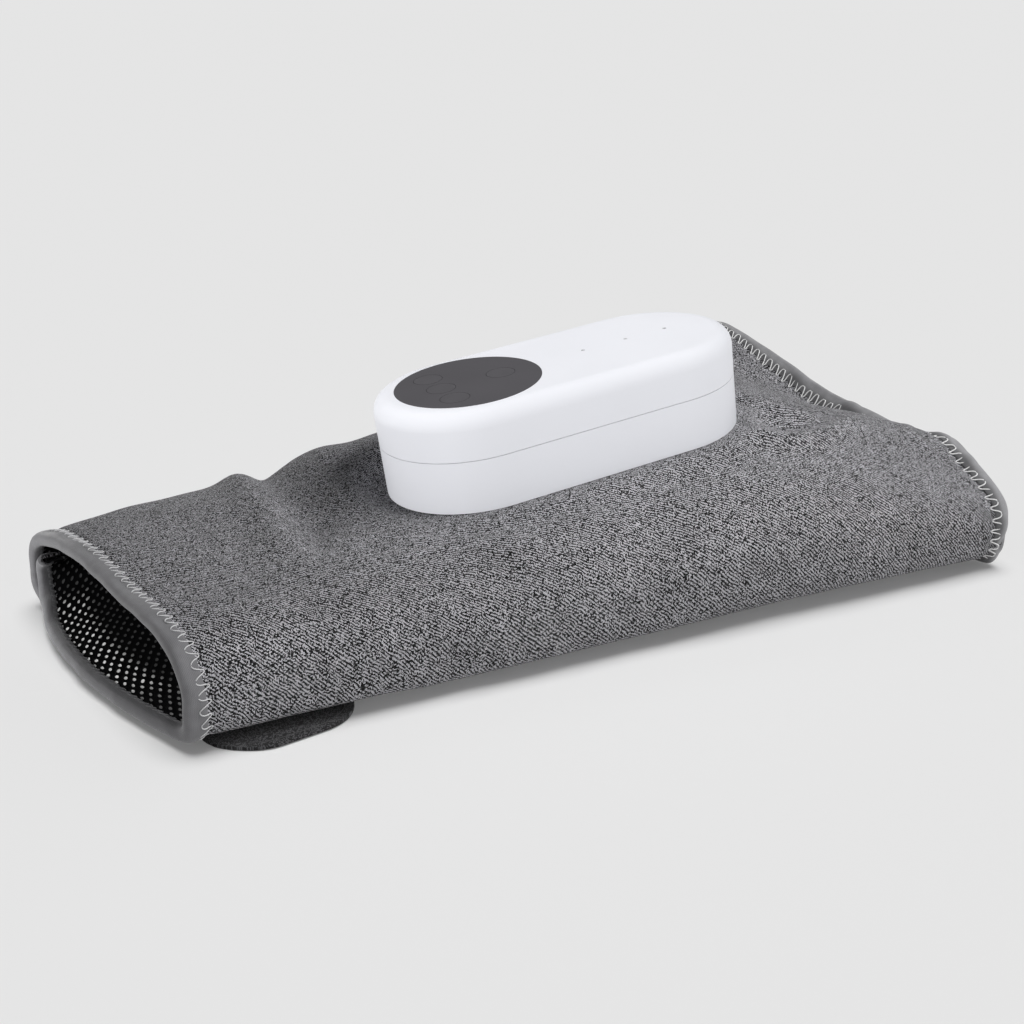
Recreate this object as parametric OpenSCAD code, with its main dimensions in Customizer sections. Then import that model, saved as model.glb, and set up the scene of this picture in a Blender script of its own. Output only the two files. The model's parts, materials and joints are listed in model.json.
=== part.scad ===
// Air compression leg massager: a stadium-shaped control pod on a tapered
// fabric sleeve with two air chambers, closed underneath by a hook-and-loop flap.
// Millimetres, +Z up. The origin is on the resting face, straight below the
// centre of the pod's base. +X runs along the leg towards the calf end.

/* [Pod] */
// Radius of the pod's round ends
pod_r = 33.4; // [33.2:0.1:33.8]
// Half of the straight length between the end centres
pod_half = 37; // [36.8:0.1:38]
// Height of the pod above its base
pod_h = 36.6; // [36.5:0.1:37]
// Wall thickness of the two case shells
wall = 2; // [1.8:0.1:2]
// Height of the parting line above the base
seam_z = 19.2; // [19:0.1:19.6]
// Radius of the rounded top edge
top_fillet = 6.2; // [5:0.1:6.3]
// Height of the middle of the pod's base above the floor
pod_lift = 50; // [50:0.5:51]
// Slope of the pod's base along the leg, degrees
pod_tilt = 8.1; // [7.5:0.1:8.1]

/* [Controls] */
// Radius of the dark control panel
panel_r = 26.9; // [26:0.1:26.9]
// Distance of the panel's centre from the pod's centre
panel_x = 35; // [34.8:0.1:35.2]
// Radius of a key cap
key_r = 5.25; // [5:0.05:5.3]
// Gap round a key cap
key_gap = 0.15; // [0.1:0.05:0.2]
// Travel of a key
key_travel = 0.5; // [0.3:0.1:0.5]
// Radius of an indicator light pipe
pipe_r = 0.75; // [0.6:0.05:0.9]

/* [Sleeve] */
// Thickness of the stack that lies under the sleeve
under_z = 3; // [3:0.1:3.4]
// Thickness of the outer cover
cover_t = 1.6; // [1.2:0.1:1.6]
// Thickness of an air chamber while it is empty
chamber_t = 1.8; // [1.4:0.1:1.8]
// Thickness of the mesh lining
lining_t = 1.6; // [1.2:0.1:1.6]
// Width of the binding tape on the outside
binding_w = 8; // [6:0.5:9]
// Sections along the sleeve's cover
cover_n = 22; // [20:1:26]
// Points round the sleeve's cover
cover_m = 40; // [36:4:48]

/* [Closure] */
// Thickness of the closure flap
flap_t = 1.5; // [1.2:0.1:1.5]
// Width of a closure strap
strap_w = 50; // [40:1:50]
// Angle of the flap's hinge line to the pod's axis, degrees
hinge_a = 11.8; // [11.6:0.1:12]

/* [Hidden] */
$fn = 72;
in_r = pod_r - wall;

// corners of the flattened sleeve in plan: near side and far side, ankle and calf
near_a = [-162, -79];
near_c = [159, -71];
far_a = [-192, 51];
far_c = [133, 117];
// stations along the sleeve and across it, and the crown height at each
st_s = [0, 0.17, 0.30, 0.50, 0.72, 0.87, 1];
st_w = [0, 0.25, 0.5, 0.75, 1];
st_h = [[34, 36, 36, 37, 37],
        [34, 36, 37, 41, 42],
        [35, 39, 41, 46, 46],
        [43, 49, 50, 53, 52],
        [50, 58, 60, 61, 60],
        [50, 54, 55, 61, 64],
        [47, 49, 48, 59, 66]];
// how square the shoulder is at each station
st_p = [9, 5, 3.8, 3.2, 3.3, 3.5, 3.7];
sleeve_len = 321;

// ---------- curves ----------
// slope of the curve through the points at number i
function slope(xs, ys, i) = let (n = len(xs))
    i == 0 ? (ys[1] - ys[0]) / (xs[1] - xs[0])
    : i == n - 1 ? (ys[n - 1] - ys[n - 2]) / (xs[n - 1] - xs[n - 2])
    : (ys[i + 1] - ys[i - 1]) / (xs[i + 1] - xs[i - 1]);
// last station at or before x
function seg(xs, x, k = 0) = (k >= len(xs) - 2 || x <= xs[k + 1]) ? k : seg(xs, x, k + 1);
// smooth curve through the points
function curve(xs, ys, x0) = let (
        x = min(max(x0, xs[0]), xs[len(xs) - 1]),
        k = seg(xs, x), h = xs[k + 1] - xs[k], u = (x - xs[k]) / h)
    (2 * pow(u, 3) - 3 * pow(u, 2) + 1) * ys[k]
    + (pow(u, 3) - 2 * pow(u, 2) + u) * h * slope(xs, ys, k)
    + (-2 * pow(u, 3) + 3 * pow(u, 2)) * ys[k + 1]
    + (pow(u, 3) - pow(u, 2)) * h * slope(xs, ys, k + 1);
function ease(v) = let (u = min(max(v, 0), 1)) u * u * (3 - 2 * u);
function signed_pow(v, e) = v < 0 ? -pow(-v, e) : pow(v, e);
// crown height at station t and place w across
function crown(t, w) = curve(st_s, [for (row = st_h) curve(st_w, row, w)], t);
// distance outside the pod's footprint
function off_pod(x, y) = max(0, sqrt(pow(max(abs(x) - pod_half, 0), 2) + y * y) - pod_r);
// share of the flat seat under the pod
function seat_share(x, y) = 1 - ease((off_pod(x, y) - 10) / 18);
// a point of the sleeve: s along it in mm, f round it in degrees (0 near side,
// 90 top, 180 far side), d below its outer face, sink below the pod's base
function wrap_point(s, f, d, sink) = let (
        t = s / sleeve_len,
        n = near_a + (near_c - near_a) * t, m = far_a + (far_c - far_a) * t,
        c = (n + m) / 2, g = m - n, a = norm(g) / 2, dir = g / norm(g),
        top = sin(f) >= 0, p = top ? curve(st_s, st_p, t) : 16,
        cx = signed_pow(cos(f), 2 / p), w = 0.5 - 0.5 * cx,
        xy = c - dir * (a - d) * cx,
        widest = under_z + (crown(t, 0.5) - under_z) * 0.38,
        free = top ? widest + (crown(t, w) - d - widest) * pow(sin(f), 2 / 2.4)
                   : widest - (widest - under_z - d) * pow(-sin(f), 2 / 3),
        plane = pod_lift + xy[0] * tan(pod_tilt) - sink / cos(pod_tilt),
        share = top ? seat_share(xy[0], xy[1]) : 0)
    [xy[0], xy[1], free * (1 - share) + plane * share];

// closed ring of the section sec = [[s, d, sink], ...] with m points round; every
// quad is split the same way in plan, so that nested layers stay parallel
module ring(sec, m) {
    k = len(sec);
    pts = [for (j = [0:m - 1]) for (q = sec) wrap_point(q[0], 360 * j / m, q[1], q[2])];
    faces = [for (j = [0:m - 1]) for (i = [0:k - 1]) let (
            a = j * k + i, b = j * k + (i + 1) % k,
            c = ((j + 1) % m) * k + (i + 1) % k, e = ((j + 1) % m) * k + i)
        each sec[(i + 1) % k][0] >= sec[i][0] ? [[a, b, c], [a, c, e]] : [[a, b, e], [b, c, e]]];
    polyhedron(pts, faces, convexity = 6);
}
// closed pad from f0 to f1 degrees, a strip of the same section with two ends
module pad(sec, f0, f1, m) {
    k = len(sec);
    h = k / 2;
    pts = [for (j = [0:m]) for (q = sec) wrap_point(q[0], f0 + (f1 - f0) * j / m, q[1], q[2])];
    faces = [for (j = [0:m - 1]) for (i = [0:k - 1]) let (
            a = j * k + i, b = j * k + (i + 1) % k,
            c = (j + 1) * k + (i + 1) % k, e = (j + 1) * k + i)
        each sec[(i + 1) % k][0] >= sec[i][0] ? [[a, b, c], [a, c, e]] : [[a, b, e], [b, c, e]]];
    end0 = [for (i = [0:h - 2]) each [[i + 1, i, k - 1 - i], [i + 1, k - 1 - i, k - 2 - i]]];
    end1 = [for (q = end0) [for (v = [q[0], q[2], q[1]]) v + m * k]];
    polyhedron(pts, concat(faces, end0, end1), convexity = 6);
}
// section of a layer from s0 to s1 with n steps, d0 to d1 deep
function layer(s0, s1, n, d0, d1, sink0, sink1) = concat(
    [for (i = [0:n]) [s0 + (s1 - s0) * i / n, d0, sink0]],
    [for (i = [n:-1:0]) [s0 + (s1 - s0) * i / n, d1, sink1]]);

// ---------- pod helpers ----------
module on_pod() translate([0, 0, pod_lift]) rotate([0, -pod_tilt, 0]) children();
module stadium(r, z0, z1) translate([0, 0, z0]) linear_extrude(z1 - z0) {
    translate([-pod_half, -r]) square([2 * pod_half, 2 * r]);
    for (sx = [-1, 1]) translate([sx * pod_half, 0]) circle(r);
}
// cylinder along X
module bar(r, x0, x1, y, z) translate([x0, y, z]) rotate([0, 90, 0]) cylinder(r = r, h = x1 - x0);
module post(r, z0, z1, x, y) translate([x, y, z0]) cylinder(r = r, h = z1 - z0);
module block(x0, x1, y0, y1, z0, z1) translate([x0, y0, z0]) cube([x1 - x0, y1 - y0, z1 - z0]);

case_posts = [[-50, -25], [-50, 25], [52, -24], [52, 24]];
plate_posts = [[-30, -26], [-30, 26], [28, -26], [28, 26]];
air_ways = [[17, -14], [38, -14]];
panel_posts = [for (a = [60, 180, 300]) [-panel_x + 23.5 * cos(a), 23.5 * sin(a)]];
board_posts = [[0, 21], [0, -21], [60.5, 0]];
port_posts = [[58, -6.5], [58, 6.5]];
keys = [[13, 0], [-10.5, 13], [-10.5, 0], [-10.5, -13]];
lights = [12, 30, 47];
pump_y = 9;
duct_z = 15;

// outline of the upper shell's outside, turned about the end centre
module case_profile(r, h, f) {
    square([r, h - f]);
    square([r - f, h]);
    translate([r - f, h - f]) circle(f);
}
module upper_outside() {
    intersection() {
        union() {
            for (sx = [-1, 1]) translate([sx * pod_half, 0, 0]) rotate_extrude()
                case_profile(pod_r, pod_h, top_fillet);
            translate([-pod_half, 0, 0]) rotate([90, 0, 90]) linear_extrude(2 * pod_half) {
                case_profile(pod_r, pod_h, top_fillet);
                mirror([1, 0]) case_profile(pod_r, pod_h, top_fillet);
            }
        }
        translate([-100, -100, seam_z + 0.1]) cube([200, 200, 50]);
    }
}
module upper_inside() {
    for (sx = [-1, 1]) translate([sx * pod_half, 0, 0]) rotate_extrude()
        case_profile(in_r, pod_h - wall, top_fillet - wall);
    translate([-pod_half, 0, 0]) rotate([90, 0, 90]) linear_extrude(2 * pod_half) {
        case_profile(in_r, pod_h - wall, top_fillet - wall);
        mirror([1, 0]) case_profile(in_r, pod_h - wall, top_fillet - wall);
    }
}

// ---------- case ----------
module upper_case() color([0.93, 0.93, 0.95]) on_pod() difference() {
    union() {
        difference() {
            upper_outside();
            upper_inside();
        }
        // tongue inside the seam
        difference() {
            union() {
                stadium(in_r - 0.1, seam_z - 1.9, seam_z + 0.1);
                stadium(in_r + 0.2, seam_z + 0.1, seam_z + 2);
            }
            stadium(in_r - 0.9, seam_z - 3, seam_z + 3);
        }
        // seat ring of the control panel
        translate([-panel_x, 0, 33.4]) cylinder(r = panel_r + 1.6, h = 1.9);
        for (q = case_posts) post(3.2, seam_z + 0.1, 34.8, q[0], q[1]);
        intersection() {
            for (q = case_posts) post(3.2, seam_z - 1.9, seam_z + 0.2, q[0], q[1]);
            stadium(in_r - 0.1, 0, seam_z + 5);
        }
        for (q = panel_posts) post(2.2, 31, 33.8, q[0], q[1]);
        for (q = board_posts) post(2.5, 31, 34.8, q[0], q[1]);
    }
    // panel recess, opening and screw holes
    translate([-panel_x, 0, 35]) cylinder(r = panel_r + 0.1, h = 5);
    translate([-panel_x, 0, 33]) cylinder(r = 24, h = 5);
    for (q = case_posts) post(1.3, seam_z - 3, 31.5, q[0], q[1]);
    for (q = panel_posts) post(0.85, 30, 34.4, q[0], q[1]);
    for (q = board_posts) post(0.85, 30, 34.4, q[0], q[1]);
    for (x = lights) post(pipe_r + 0.05, 30, 40, x, 0);
}

module lower_case() color([0.92, 0.92, 0.94]) on_pod() difference() {
    union() {
        difference() {
            stadium(pod_r, 0, seam_z - 0.1);
            stadium(in_r, wall, seam_z + 5);
        }
        for (q = case_posts) {
            post(3.2, 0.5, seam_z - 2.1, q[0], q[1]);
            post(4, 0.5, 4.2, q[0], q[1]);
        }
        for (q = plate_posts) post(3, 0.5, 8, q[0], q[1]);
        for (q = port_posts) post(2.2, 0.5, 5.4, q[0], q[1]);
    }
    for (q = case_posts) {
        post(1.5, -1, 25, q[0], q[1]);
        post(2.7, -1, 2.3, q[0], q[1]);
    }
    for (q = plate_posts) post(1.3, -1, 7, q[0], q[1]);
    for (q = air_ways) post(2.6, -1, 5, q[0], q[1]);
    for (q = port_posts) post(0.85, 3, 6, q[0], q[1]);
    // mouth of the charging socket
    translate([62, 0, 8.6]) rotate([90, 0, 90]) linear_extrude(12) {
        translate([-3, -1.75]) square([6, 3.5]);
        for (sy = [-1, 1]) translate([sy * 3, 0]) circle(1.75);
    }
}

// ---------- controls ----------
module control_panel() color([0.33, 0.33, 0.35]) on_pod() translate([-panel_x, 0, 35]) difference() {
    cylinder(r = panel_r, h = pod_h - 35);
    for (q = keys) post(key_r + key_gap, -1, 5, q[0], q[1]);
}
module key(q) on_pod() translate([-panel_x + q[0], q[1], 0]) {
    post(key_r, 34, pod_h, 0, 0);
    post(key_r + 0.65, 34, 34.8, 0, 0);
    post(2, 33.5, 34.4, 0, 0);
}
module power_key() color([0.34, 0.34, 0.36]) key(keys[0]);
module mode_key() color([0.34, 0.34, 0.36]) key(keys[1]);
module level_key() color([0.34, 0.34, 0.36]) key(keys[2]);
module timer_key() color([0.34, 0.34, 0.36]) key(keys[3]);

module panel_board() color([0.1, 0.35, 0.2]) on_pod() difference() {
    translate([-panel_x, 0, 29.8]) cylinder(r = 25.4, h = 1.2);
    for (q = panel_posts) post(1.1, 29, 32, q[0], q[1]);
    for (q = case_posts) post(3.6, 29, 32, q[0], q[1]);
}
module key_switches() color([0.2, 0.2, 0.2]) on_pod()
    for (q = keys) translate([-panel_x + q[0], q[1], 31]) {
        translate([-2.25, -2.25, 0]) cube([4.5, 4.5, 1.6]);
        cylinder(r = 1, h = 1.9);
    }
module indicator_pipes() color([0.9, 0.9, 0.92]) on_pod()
    for (x = lights) {
        post(pipe_r, 32, pod_h, x, 0);
        post(1.6, 33.4, 34.5, x, 0);
    }
module indicator_leds() color([0.95, 0.95, 0.8]) on_pod()
    for (x = lights) block(x - 0.8, x + 0.8, -0.4, 0.4, 31, 31.6);

// ---------- electronics ----------
module main_board() color([0.1, 0.35, 0.2]) on_pod() difference() {
    intersection() {
        stadium(29.4, 29.8, 31);
        block(-6, 80, -26.5, 26.5, 20, 40);
    }
    for (q = case_posts) post(3.7, 29, 32, q[0], q[1]);
    for (q = board_posts) post(1.1, 29, 32, q[0], q[1]);
    post(1.7, 29, 32, 41, -14);
}
module board_parts() color([0.12, 0.12, 0.13]) on_pod() {
    block(18, 26, -12, -4, 31, 32.4);
    block(2, 7, 4, 9, 31, 33.2);
    block(18, 23, 8, 15, 31, 33);
    block(34, 40, 6, 12, 31, 33.6);
    post(2.5, 31, 34, 52, 8);
    block(50, 58, -12, -6, 31, 34);
    block(3, 8, -14, -6, 31, 33.8);
}
module pressure_sensor() color([0.15, 0.15, 0.16]) on_pod() difference() {
    block(37.5, 44.5, -17.5, -10.5, 31, 34.2);
    post(1.6, 30, 33, 41, -14);
}
module sense_tube() color([0.85, 0.85, 0.88]) on_pod() difference() {
    post(1.5, 18.5, 32.8, 41, -14);
    post(0.9, 17, 34, 41, -14);
}
module battery_cells() color([0.25, 0.45, 0.7]) on_pod()
    for (sy = [-1, 1]) {
        bar(9.1, -61.5, 2.6, sy * 9.3, 11.7);
        bar(3, 2.6, 3.5, sy * 9.3, 11.7);
    }
module battery_tray() color([0.15, 0.15, 0.16]) on_pod() difference() {
    block(-60, 1, -18.9, 18.9, 2.05, 7);
    for (sy = [-1, 1]) bar(9.2, -63, 4, sy * 9.3, 11.7);
}
module charge_port() color([0.75, 0.75, 0.77]) on_pod() difference() {
    translate([63.2, 0, 8.6]) rotate([90, 0, 90]) linear_extrude(6.6) {
        translate([-2.95, -1.65]) square([5.9, 3.3]);
        for (sy = [-1, 1]) translate([sy * 2.95, 0]) circle(1.65);
    }
    translate([64.4, 0, 8.6]) rotate([90, 0, 90]) linear_extrude(9) {
        translate([-2.95, -1.3]) square([5.9, 2.6]);
        for (sy = [-1, 1]) translate([sy * 2.95, 0]) circle(1.3);
    }
}
module charge_port_board() color([0.1, 0.35, 0.2]) on_pod() difference() {
    union() {
        block(55, 66.6, -8.8, 8.8, 5.4, 6.6);
        // contact tongue of the socket
        block(63.2, 64.3, -1.5, 1.5, 6.5, 6.9);
    }
    for (q = port_posts) post(1.1, 5, 8, q[0], q[1]);
}

// ---------- air pump ----------
module pump_motor() color([0.7, 0.7, 0.72]) on_pod() difference() {
    bar(12, 5.5, 27.4, pump_y, duct_z);
    bar(1.05, 18, 30, pump_y, duct_z);
}
module pump_rotor() color([0.8, 0.8, 0.82]) on_pod() {
    bar(1, 18.5, 33, pump_y, duct_z);
    bar(4, 31, 34.5, pump_y, duct_z);
    bar(1, 34.5, 37.4, pump_y, duct_z + 2);
}
module pump_head() color([0.2, 0.2, 0.22]) on_pod() difference() {
    union() {
        bar(12.5, 27.6, 47.5, pump_y, duct_z);
        bar(1.8, 47.5, 52, pump_y, duct_z);
    }
    bar(1.4, 27, 31, pump_y, duct_z);
    bar(9, 29.6, 44.4, pump_y, duct_z);
    bar(1, 44, 53, pump_y, duct_z);
}
module pump_wobble_plate() color([0.85, 0.82, 0.75]) on_pod() {
    bar(7, 37.8, 39.2, pump_y, duct_z);
    for (a = [0, 120, 240]) bar(2, 39.2, 41.8,
        pump_y + 4.4 * cos(a), duct_z + 4.4 * sin(a));
}
module pump_diaphragm() color([0.3, 0.3, 0.32]) on_pod() bar(8.95, 42, 44, pump_y, duct_z);
module pump_cradle() color([0.12, 0.12, 0.13]) on_pod() difference() {
    for (x = [[8, 18], [34, 44]]) block(x[0], x[1], pump_y - 11, pump_y + 11, 2.05, 9);
    bar(12.1, 0, 27.5, pump_y, duct_z);
    bar(12.6, 27.5, 60, pump_y, duct_z);
}
module valve_bodies() color([0.65, 0.65, 0.68]) on_pod()
    for (x = [8, 29]) difference() {
        block(x, x + 17, -20, -8, 2.4, 11.3);
        bar(2.6, x + 2, x + 14.5, -14, 7);
        post(1.5, 1, 6, x + 9, -14);
    }
module ankle_valve_plunger() color([0.75, 0.75, 0.78]) on_pod() bar(2.5, 10.2, 20.2, -14, 7);
module calf_valve_plunger() color([0.75, 0.75, 0.78]) on_pod() bar(2.5, 31.2, 41.2, -14, 7);
module air_manifold() color([0.2, 0.2, 0.22]) on_pod() difference() {
    union() {
        block(8, 47.5, -18, -10, 11.5, 18.4);
        bar(1.8, 47.4, 52, -14, duct_z);
    }
    bar(1, 11, 53, -14, duct_z);
    post(1, 14, 20, 41, -14);
}
module air_hose() color([0.85, 0.85, 0.88]) on_pod() difference() {
    union() {
        bar(2.6, 47.8, 52.5, pump_y, duct_z);
        bar(2.6, 47.8, 52.5, -14, duct_z);
        translate([52.5, (pump_y - 14) / 2, duct_z]) rotate([0, 0, -90])
            rotate_extrude(angle = 180) translate([11.5, 0]) circle(2.6);
    }
    bar(1.85, 47, 52.5, pump_y, duct_z);
    bar(1.85, 47, 52.5, -14, duct_z);
    translate([52.5, (pump_y - 14) / 2, duct_z]) rotate([0, 0, -90])
        rotate_extrude(angle = 180) translate([11.5, 0]) circle(1.85);
}
module air_grommets() color([0.25, 0.25, 0.27]) on_pod()
    for (q = air_ways) difference() {
        union() {
            post(2.5, -4, 2.3, q[0], q[1]);
            post(3.8, 2.02, 2.35, q[0], q[1]);
        }
        post(1.5, -5, 4, q[0], q[1]);
    }

// ---------- fasteners and fixing to the sleeve ----------
module case_screws() color([0.6, 0.6, 0.62]) on_pod()
    for (q = case_posts) {
        post(2.5, 0.3, 2.2, q[0], q[1]);
        post(1.25, 1, 30, q[0], q[1]);
    }
module board_screws() color([0.6, 0.6, 0.62]) on_pod() {
    for (q = concat(panel_posts, board_posts)) {
        post(1.8, 28.6, 29.75, q[0], q[1]);
        post(0.8, 29, 34, q[0], q[1]);
    }
    for (q = port_posts) {
        post(1.8, 6.65, 7.8, q[0], q[1]);
        post(0.8, 3.2, 7, q[0], q[1]);
    }
}
module backing_plate() color([0.2, 0.2, 0.22]) on_pod() difference() {
    translate([0, 0, -4]) linear_extrude(1.6) {
        translate([-30, -30]) square([60, 60]);
        for (sx = [-1, 1]) translate([sx * 30, 0]) circle(30);
    }
    for (q = plate_posts) {
        post(1.4, -5, 0, q[0], q[1]);
        post(2.4, -5, -2.95, q[0], q[1]);
    }
    for (q = air_ways) post(2.6, -5, 0, q[0], q[1]);
}
module plate_screws() color([0.6, 0.6, 0.62]) on_pod()
    for (q = plate_posts) {
        post(2.3, -3.95, -3, q[0], q[1]);
        post(1.25, -3.5, 6.5, q[0], q[1]);
    }

// ---------- sleeve ----------
// place of section i of the cover; the inner layers share the same sections
function station(i) = 2 + (sleeve_len - 4) * i / cover_n;
c1 = cover_t + 0.4;
c2 = c1 + chamber_t;
l1 = c2 + 0.3;
l2 = l1 + lining_t;
// tape folded over the sleeve's edge: [distance from the edge, depth, -]
binding_section = [[0, -0.7, 0], [binding_w, -0.7, 0], [binding_w, -0.2, 0], [1.7, -0.2, 0],
    [1.7, l2 + 0.25, 0], [binding_w - 1, l2 + 0.25, 0], [binding_w - 1, l2 + 0.8, 0],
    [0, l2 + 0.8, 0]];
module outer_cover() color([0.47, 0.47, 0.48]) difference() {
    ring(layer(station(0), station(cover_n), cover_n, 0, cover_t, 0.25, 0.25 + cover_t), cover_m);
    on_pod() {
        for (q = plate_posts) post(1.6, -8, 4, q[0], q[1]);
        for (q = air_ways) post(2.9, -8, 4, q[0], q[1]);
    }
}
module ankle_chamber() color([0.3, 0.3, 0.32])
    pad(layer(station(2), station(10), 8, c1, c2, 4.3, 4.3 + chamber_t),
        360 * 3 / cover_m, 360 * (cover_m - 4) / cover_m, cover_m - 7);
module calf_chamber() color([0.32, 0.32, 0.34])
    pad(layer(station(11), station(cover_n - 2), cover_n - 13, c1, c2, 4.3, 4.3 + chamber_t),
        360 * 3 / cover_m, 360 * (cover_m - 4) / cover_m, cover_m - 7);
module inner_lining() color([0.08, 0.08, 0.09])
    ring(layer(station(0), station(cover_n), cover_n, l1, l2, 6.4, 6.4 + lining_t), cover_m);
module ankle_binding() color([0.42, 0.42, 0.43])
    ring(binding_section, cover_m);
module calf_binding() color([0.42, 0.42, 0.43])
    ring([for (i = [len(binding_section) - 1:-1:0]) let (q = binding_section[i])
        [sleeve_len - q[0], q[1], 0]], cover_m);

// ---------- closure under the sleeve ----------
// frame of the flap: u along its hinge line from the ankle end, v towards the near side
hinge_p = [-186, 38];
module on_flap() translate([hinge_p[0], hinge_p[1], 0]) rotate([0, 0, hinge_a]) mirror([0, 1, 0]) children();
strap_u = [31, 284];
strap_v = [129, 150];
module flap_outline() polygon([[12, 1.2], [312, 1.2], [312, 112], [12, 72]]);
module strap_outline(u, v0, v1) {
    translate([u - strap_w / 2, v0]) square([strap_w, v1 - v0 - 14]);
    translate([u - strap_w / 2 + 14, v1 - 15]) square([strap_w - 28, 15]);
    for (sx = [-1, 1]) translate([u + sx * (strap_w / 2 - 14), v1 - 14]) circle(14);
}
module closure_flap() color([0.40, 0.40, 0.41]) on_flap() linear_extrude(flap_t) flap_outline();
// edging along the flap's near edge, open where the straps are sewn on
module flap_binding() color([0.42, 0.42, 0.43]) on_flap() linear_extrude(flap_t) difference() {
    polygon([[12, 72.2], [312, 112.2], [312, 116.2], [12, 76.2]]);
    for (i = [0, 1]) translate([strap_u[i] - strap_w / 2 - 0.2, 60]) square([strap_w + 0.4, 80]);
}
module closure_straps() color([0.25, 0.25, 0.26]) on_flap() linear_extrude(flap_t)
    for (i = [0, 1]) difference() {
        strap_outline(strap_u[i], 60, strap_v[i]);
        polygon([[0, 0], [330, 0], [330, 114.6], [0, 70.6]]);
    }
module hook_pads() color([0.1, 0.1, 0.1]) on_flap() translate([0, 0, flap_t])
    linear_extrude(0.5) for (i = [0, 1])
        translate([strap_u[i] - strap_w / 2 + 8, strap_v[i] - 42]) square([strap_w - 16, 22]);
module loop_panel() color([0.3, 0.3, 0.31]) on_flap() translate([0, 0, under_z - 0.6])
    linear_extrude(0.5) polygon([[14, 78], [308, 112], [308, 140], [14, 112]]);

upper_case();
lower_case();
control_panel();
power_key();
mode_key();
level_key();
timer_key();
panel_board();
key_switches();
indicator_pipes();
indicator_leds();
main_board();
board_parts();
pressure_sensor();
sense_tube();
battery_cells();
battery_tray();
pump_motor();
pump_head();
pump_rotor();
pump_wobble_plate();
pump_diaphragm();
pump_cradle();
valve_bodies();
ankle_valve_plunger();
calf_valve_plunger();
air_manifold();
air_hose();
air_grommets();
charge_port();
charge_port_board();
case_screws();
board_screws();
backing_plate();
plate_screws();
outer_cover();
ankle_chamber();
calf_chamber();
inner_lining();
ankle_binding();
calf_binding();
loop_panel();
closure_flap();
flap_binding();
closure_straps();
hook_pads();
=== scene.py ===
import bpy
import bmesh
import json
import math
import numpy as np
from mathutils import Matrix, Vector


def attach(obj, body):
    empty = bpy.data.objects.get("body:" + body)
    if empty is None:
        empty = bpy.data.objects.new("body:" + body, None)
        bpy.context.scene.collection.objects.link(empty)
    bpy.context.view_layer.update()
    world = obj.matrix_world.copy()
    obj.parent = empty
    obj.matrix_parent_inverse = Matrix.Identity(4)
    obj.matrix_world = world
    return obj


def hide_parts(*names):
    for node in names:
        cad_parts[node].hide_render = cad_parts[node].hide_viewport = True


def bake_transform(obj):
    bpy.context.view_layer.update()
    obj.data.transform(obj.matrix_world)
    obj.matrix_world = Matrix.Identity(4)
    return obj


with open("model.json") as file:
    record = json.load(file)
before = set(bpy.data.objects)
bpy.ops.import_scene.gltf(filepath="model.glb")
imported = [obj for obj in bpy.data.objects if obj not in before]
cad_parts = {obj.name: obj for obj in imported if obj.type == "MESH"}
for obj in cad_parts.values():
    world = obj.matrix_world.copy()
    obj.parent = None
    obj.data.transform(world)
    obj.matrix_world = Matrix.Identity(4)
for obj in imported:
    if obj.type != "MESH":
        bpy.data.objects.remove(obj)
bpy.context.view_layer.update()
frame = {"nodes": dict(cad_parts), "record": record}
N = frame["nodes"]
BODY = "sleeve_and_pod"

# ======================================================================
# the sleeve's shape, in millimetres of the row frame
# GEOMETRY-BEGIN
NA = np.array([-162.0, -79.0]); FA = np.array([-192.3, 52.5])
NC = np.array([157.5, -71.0]); FC = np.array([131.0, 125.0])
LEN = 321.0
UNDER = 3.0
TILT = math.tan(math.radians(8.1))
COST = math.cos(math.radians(8.1))
TS = np.array([0, .17, .30, .50, .72, .87])
TP = np.array([0, .17, .30, .50, .72, .87, 1.0])
WS = np.array([0, .25, .5, .75, 1.0])
HT = np.array([[35, 38, 38.5, 37.5, 36],
               [35, 38, 39.5, 41.5, 40.5],
               [35.5, 39.5, 42.5, 45.5, 45],
               [43, 49, 50, 53, 52],
               [50, 58, 60, 61, 60],
               [49, 56, 54.5, 61.5, 68]], float)
# the calf end, as heights at WE: e is the distance from the end
WE = np.array([.1, .15, .2, .25, .3, .35, .4, .45, .5, .6, .7, .8, .9])
ZE = {18: [42.0, 48.5, 51.0, 52.0, 51.8, 50.5, 48.5, 47.0, 46.5, 48.5, 54.0, 60.5, 64.0],
      10: [41.0, 47.5, 49.2, 49.8, 49.3, 47.5, 45.0, 43.3, 42.9, 47.8, 54.8, 61.3, 64.8],
      5: [40.5, 45.6, 46.2, 46.6, 46.4, 45.5, 44.5, 43.8, 43.8, 49.6, 56.3, 62.3, 65.0],
      0: [41.5, 45.5, 44.0, 43.6, 44.8, 46.4, 47.2, 47.3, 48.1, 53.2, 58.8, 63.2, 64.8]}
PN = np.array([9, 5, 3.8, 3.2, 3.3, 3.3, 3.1])      # how square the near shoulder is
PF = np.array([4.4, 4.2, 4.0, 4.0, 4.5, 5.5, 7.4])      # and the far one
STACK = 4.2                                       # cover, chamber and lining together
HINGE = np.array([-186.0, 38.0])
HDIR = np.array([math.cos(math.radians(11.8)), math.sin(math.radians(11.8))])
HNOR = np.array([-HDIR[1], HDIR[0]])
F0 = -214.0                                       # the wrap's inner end
SEAM = 6.0                                        # the cover ends this far beyond the hinge line


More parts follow.
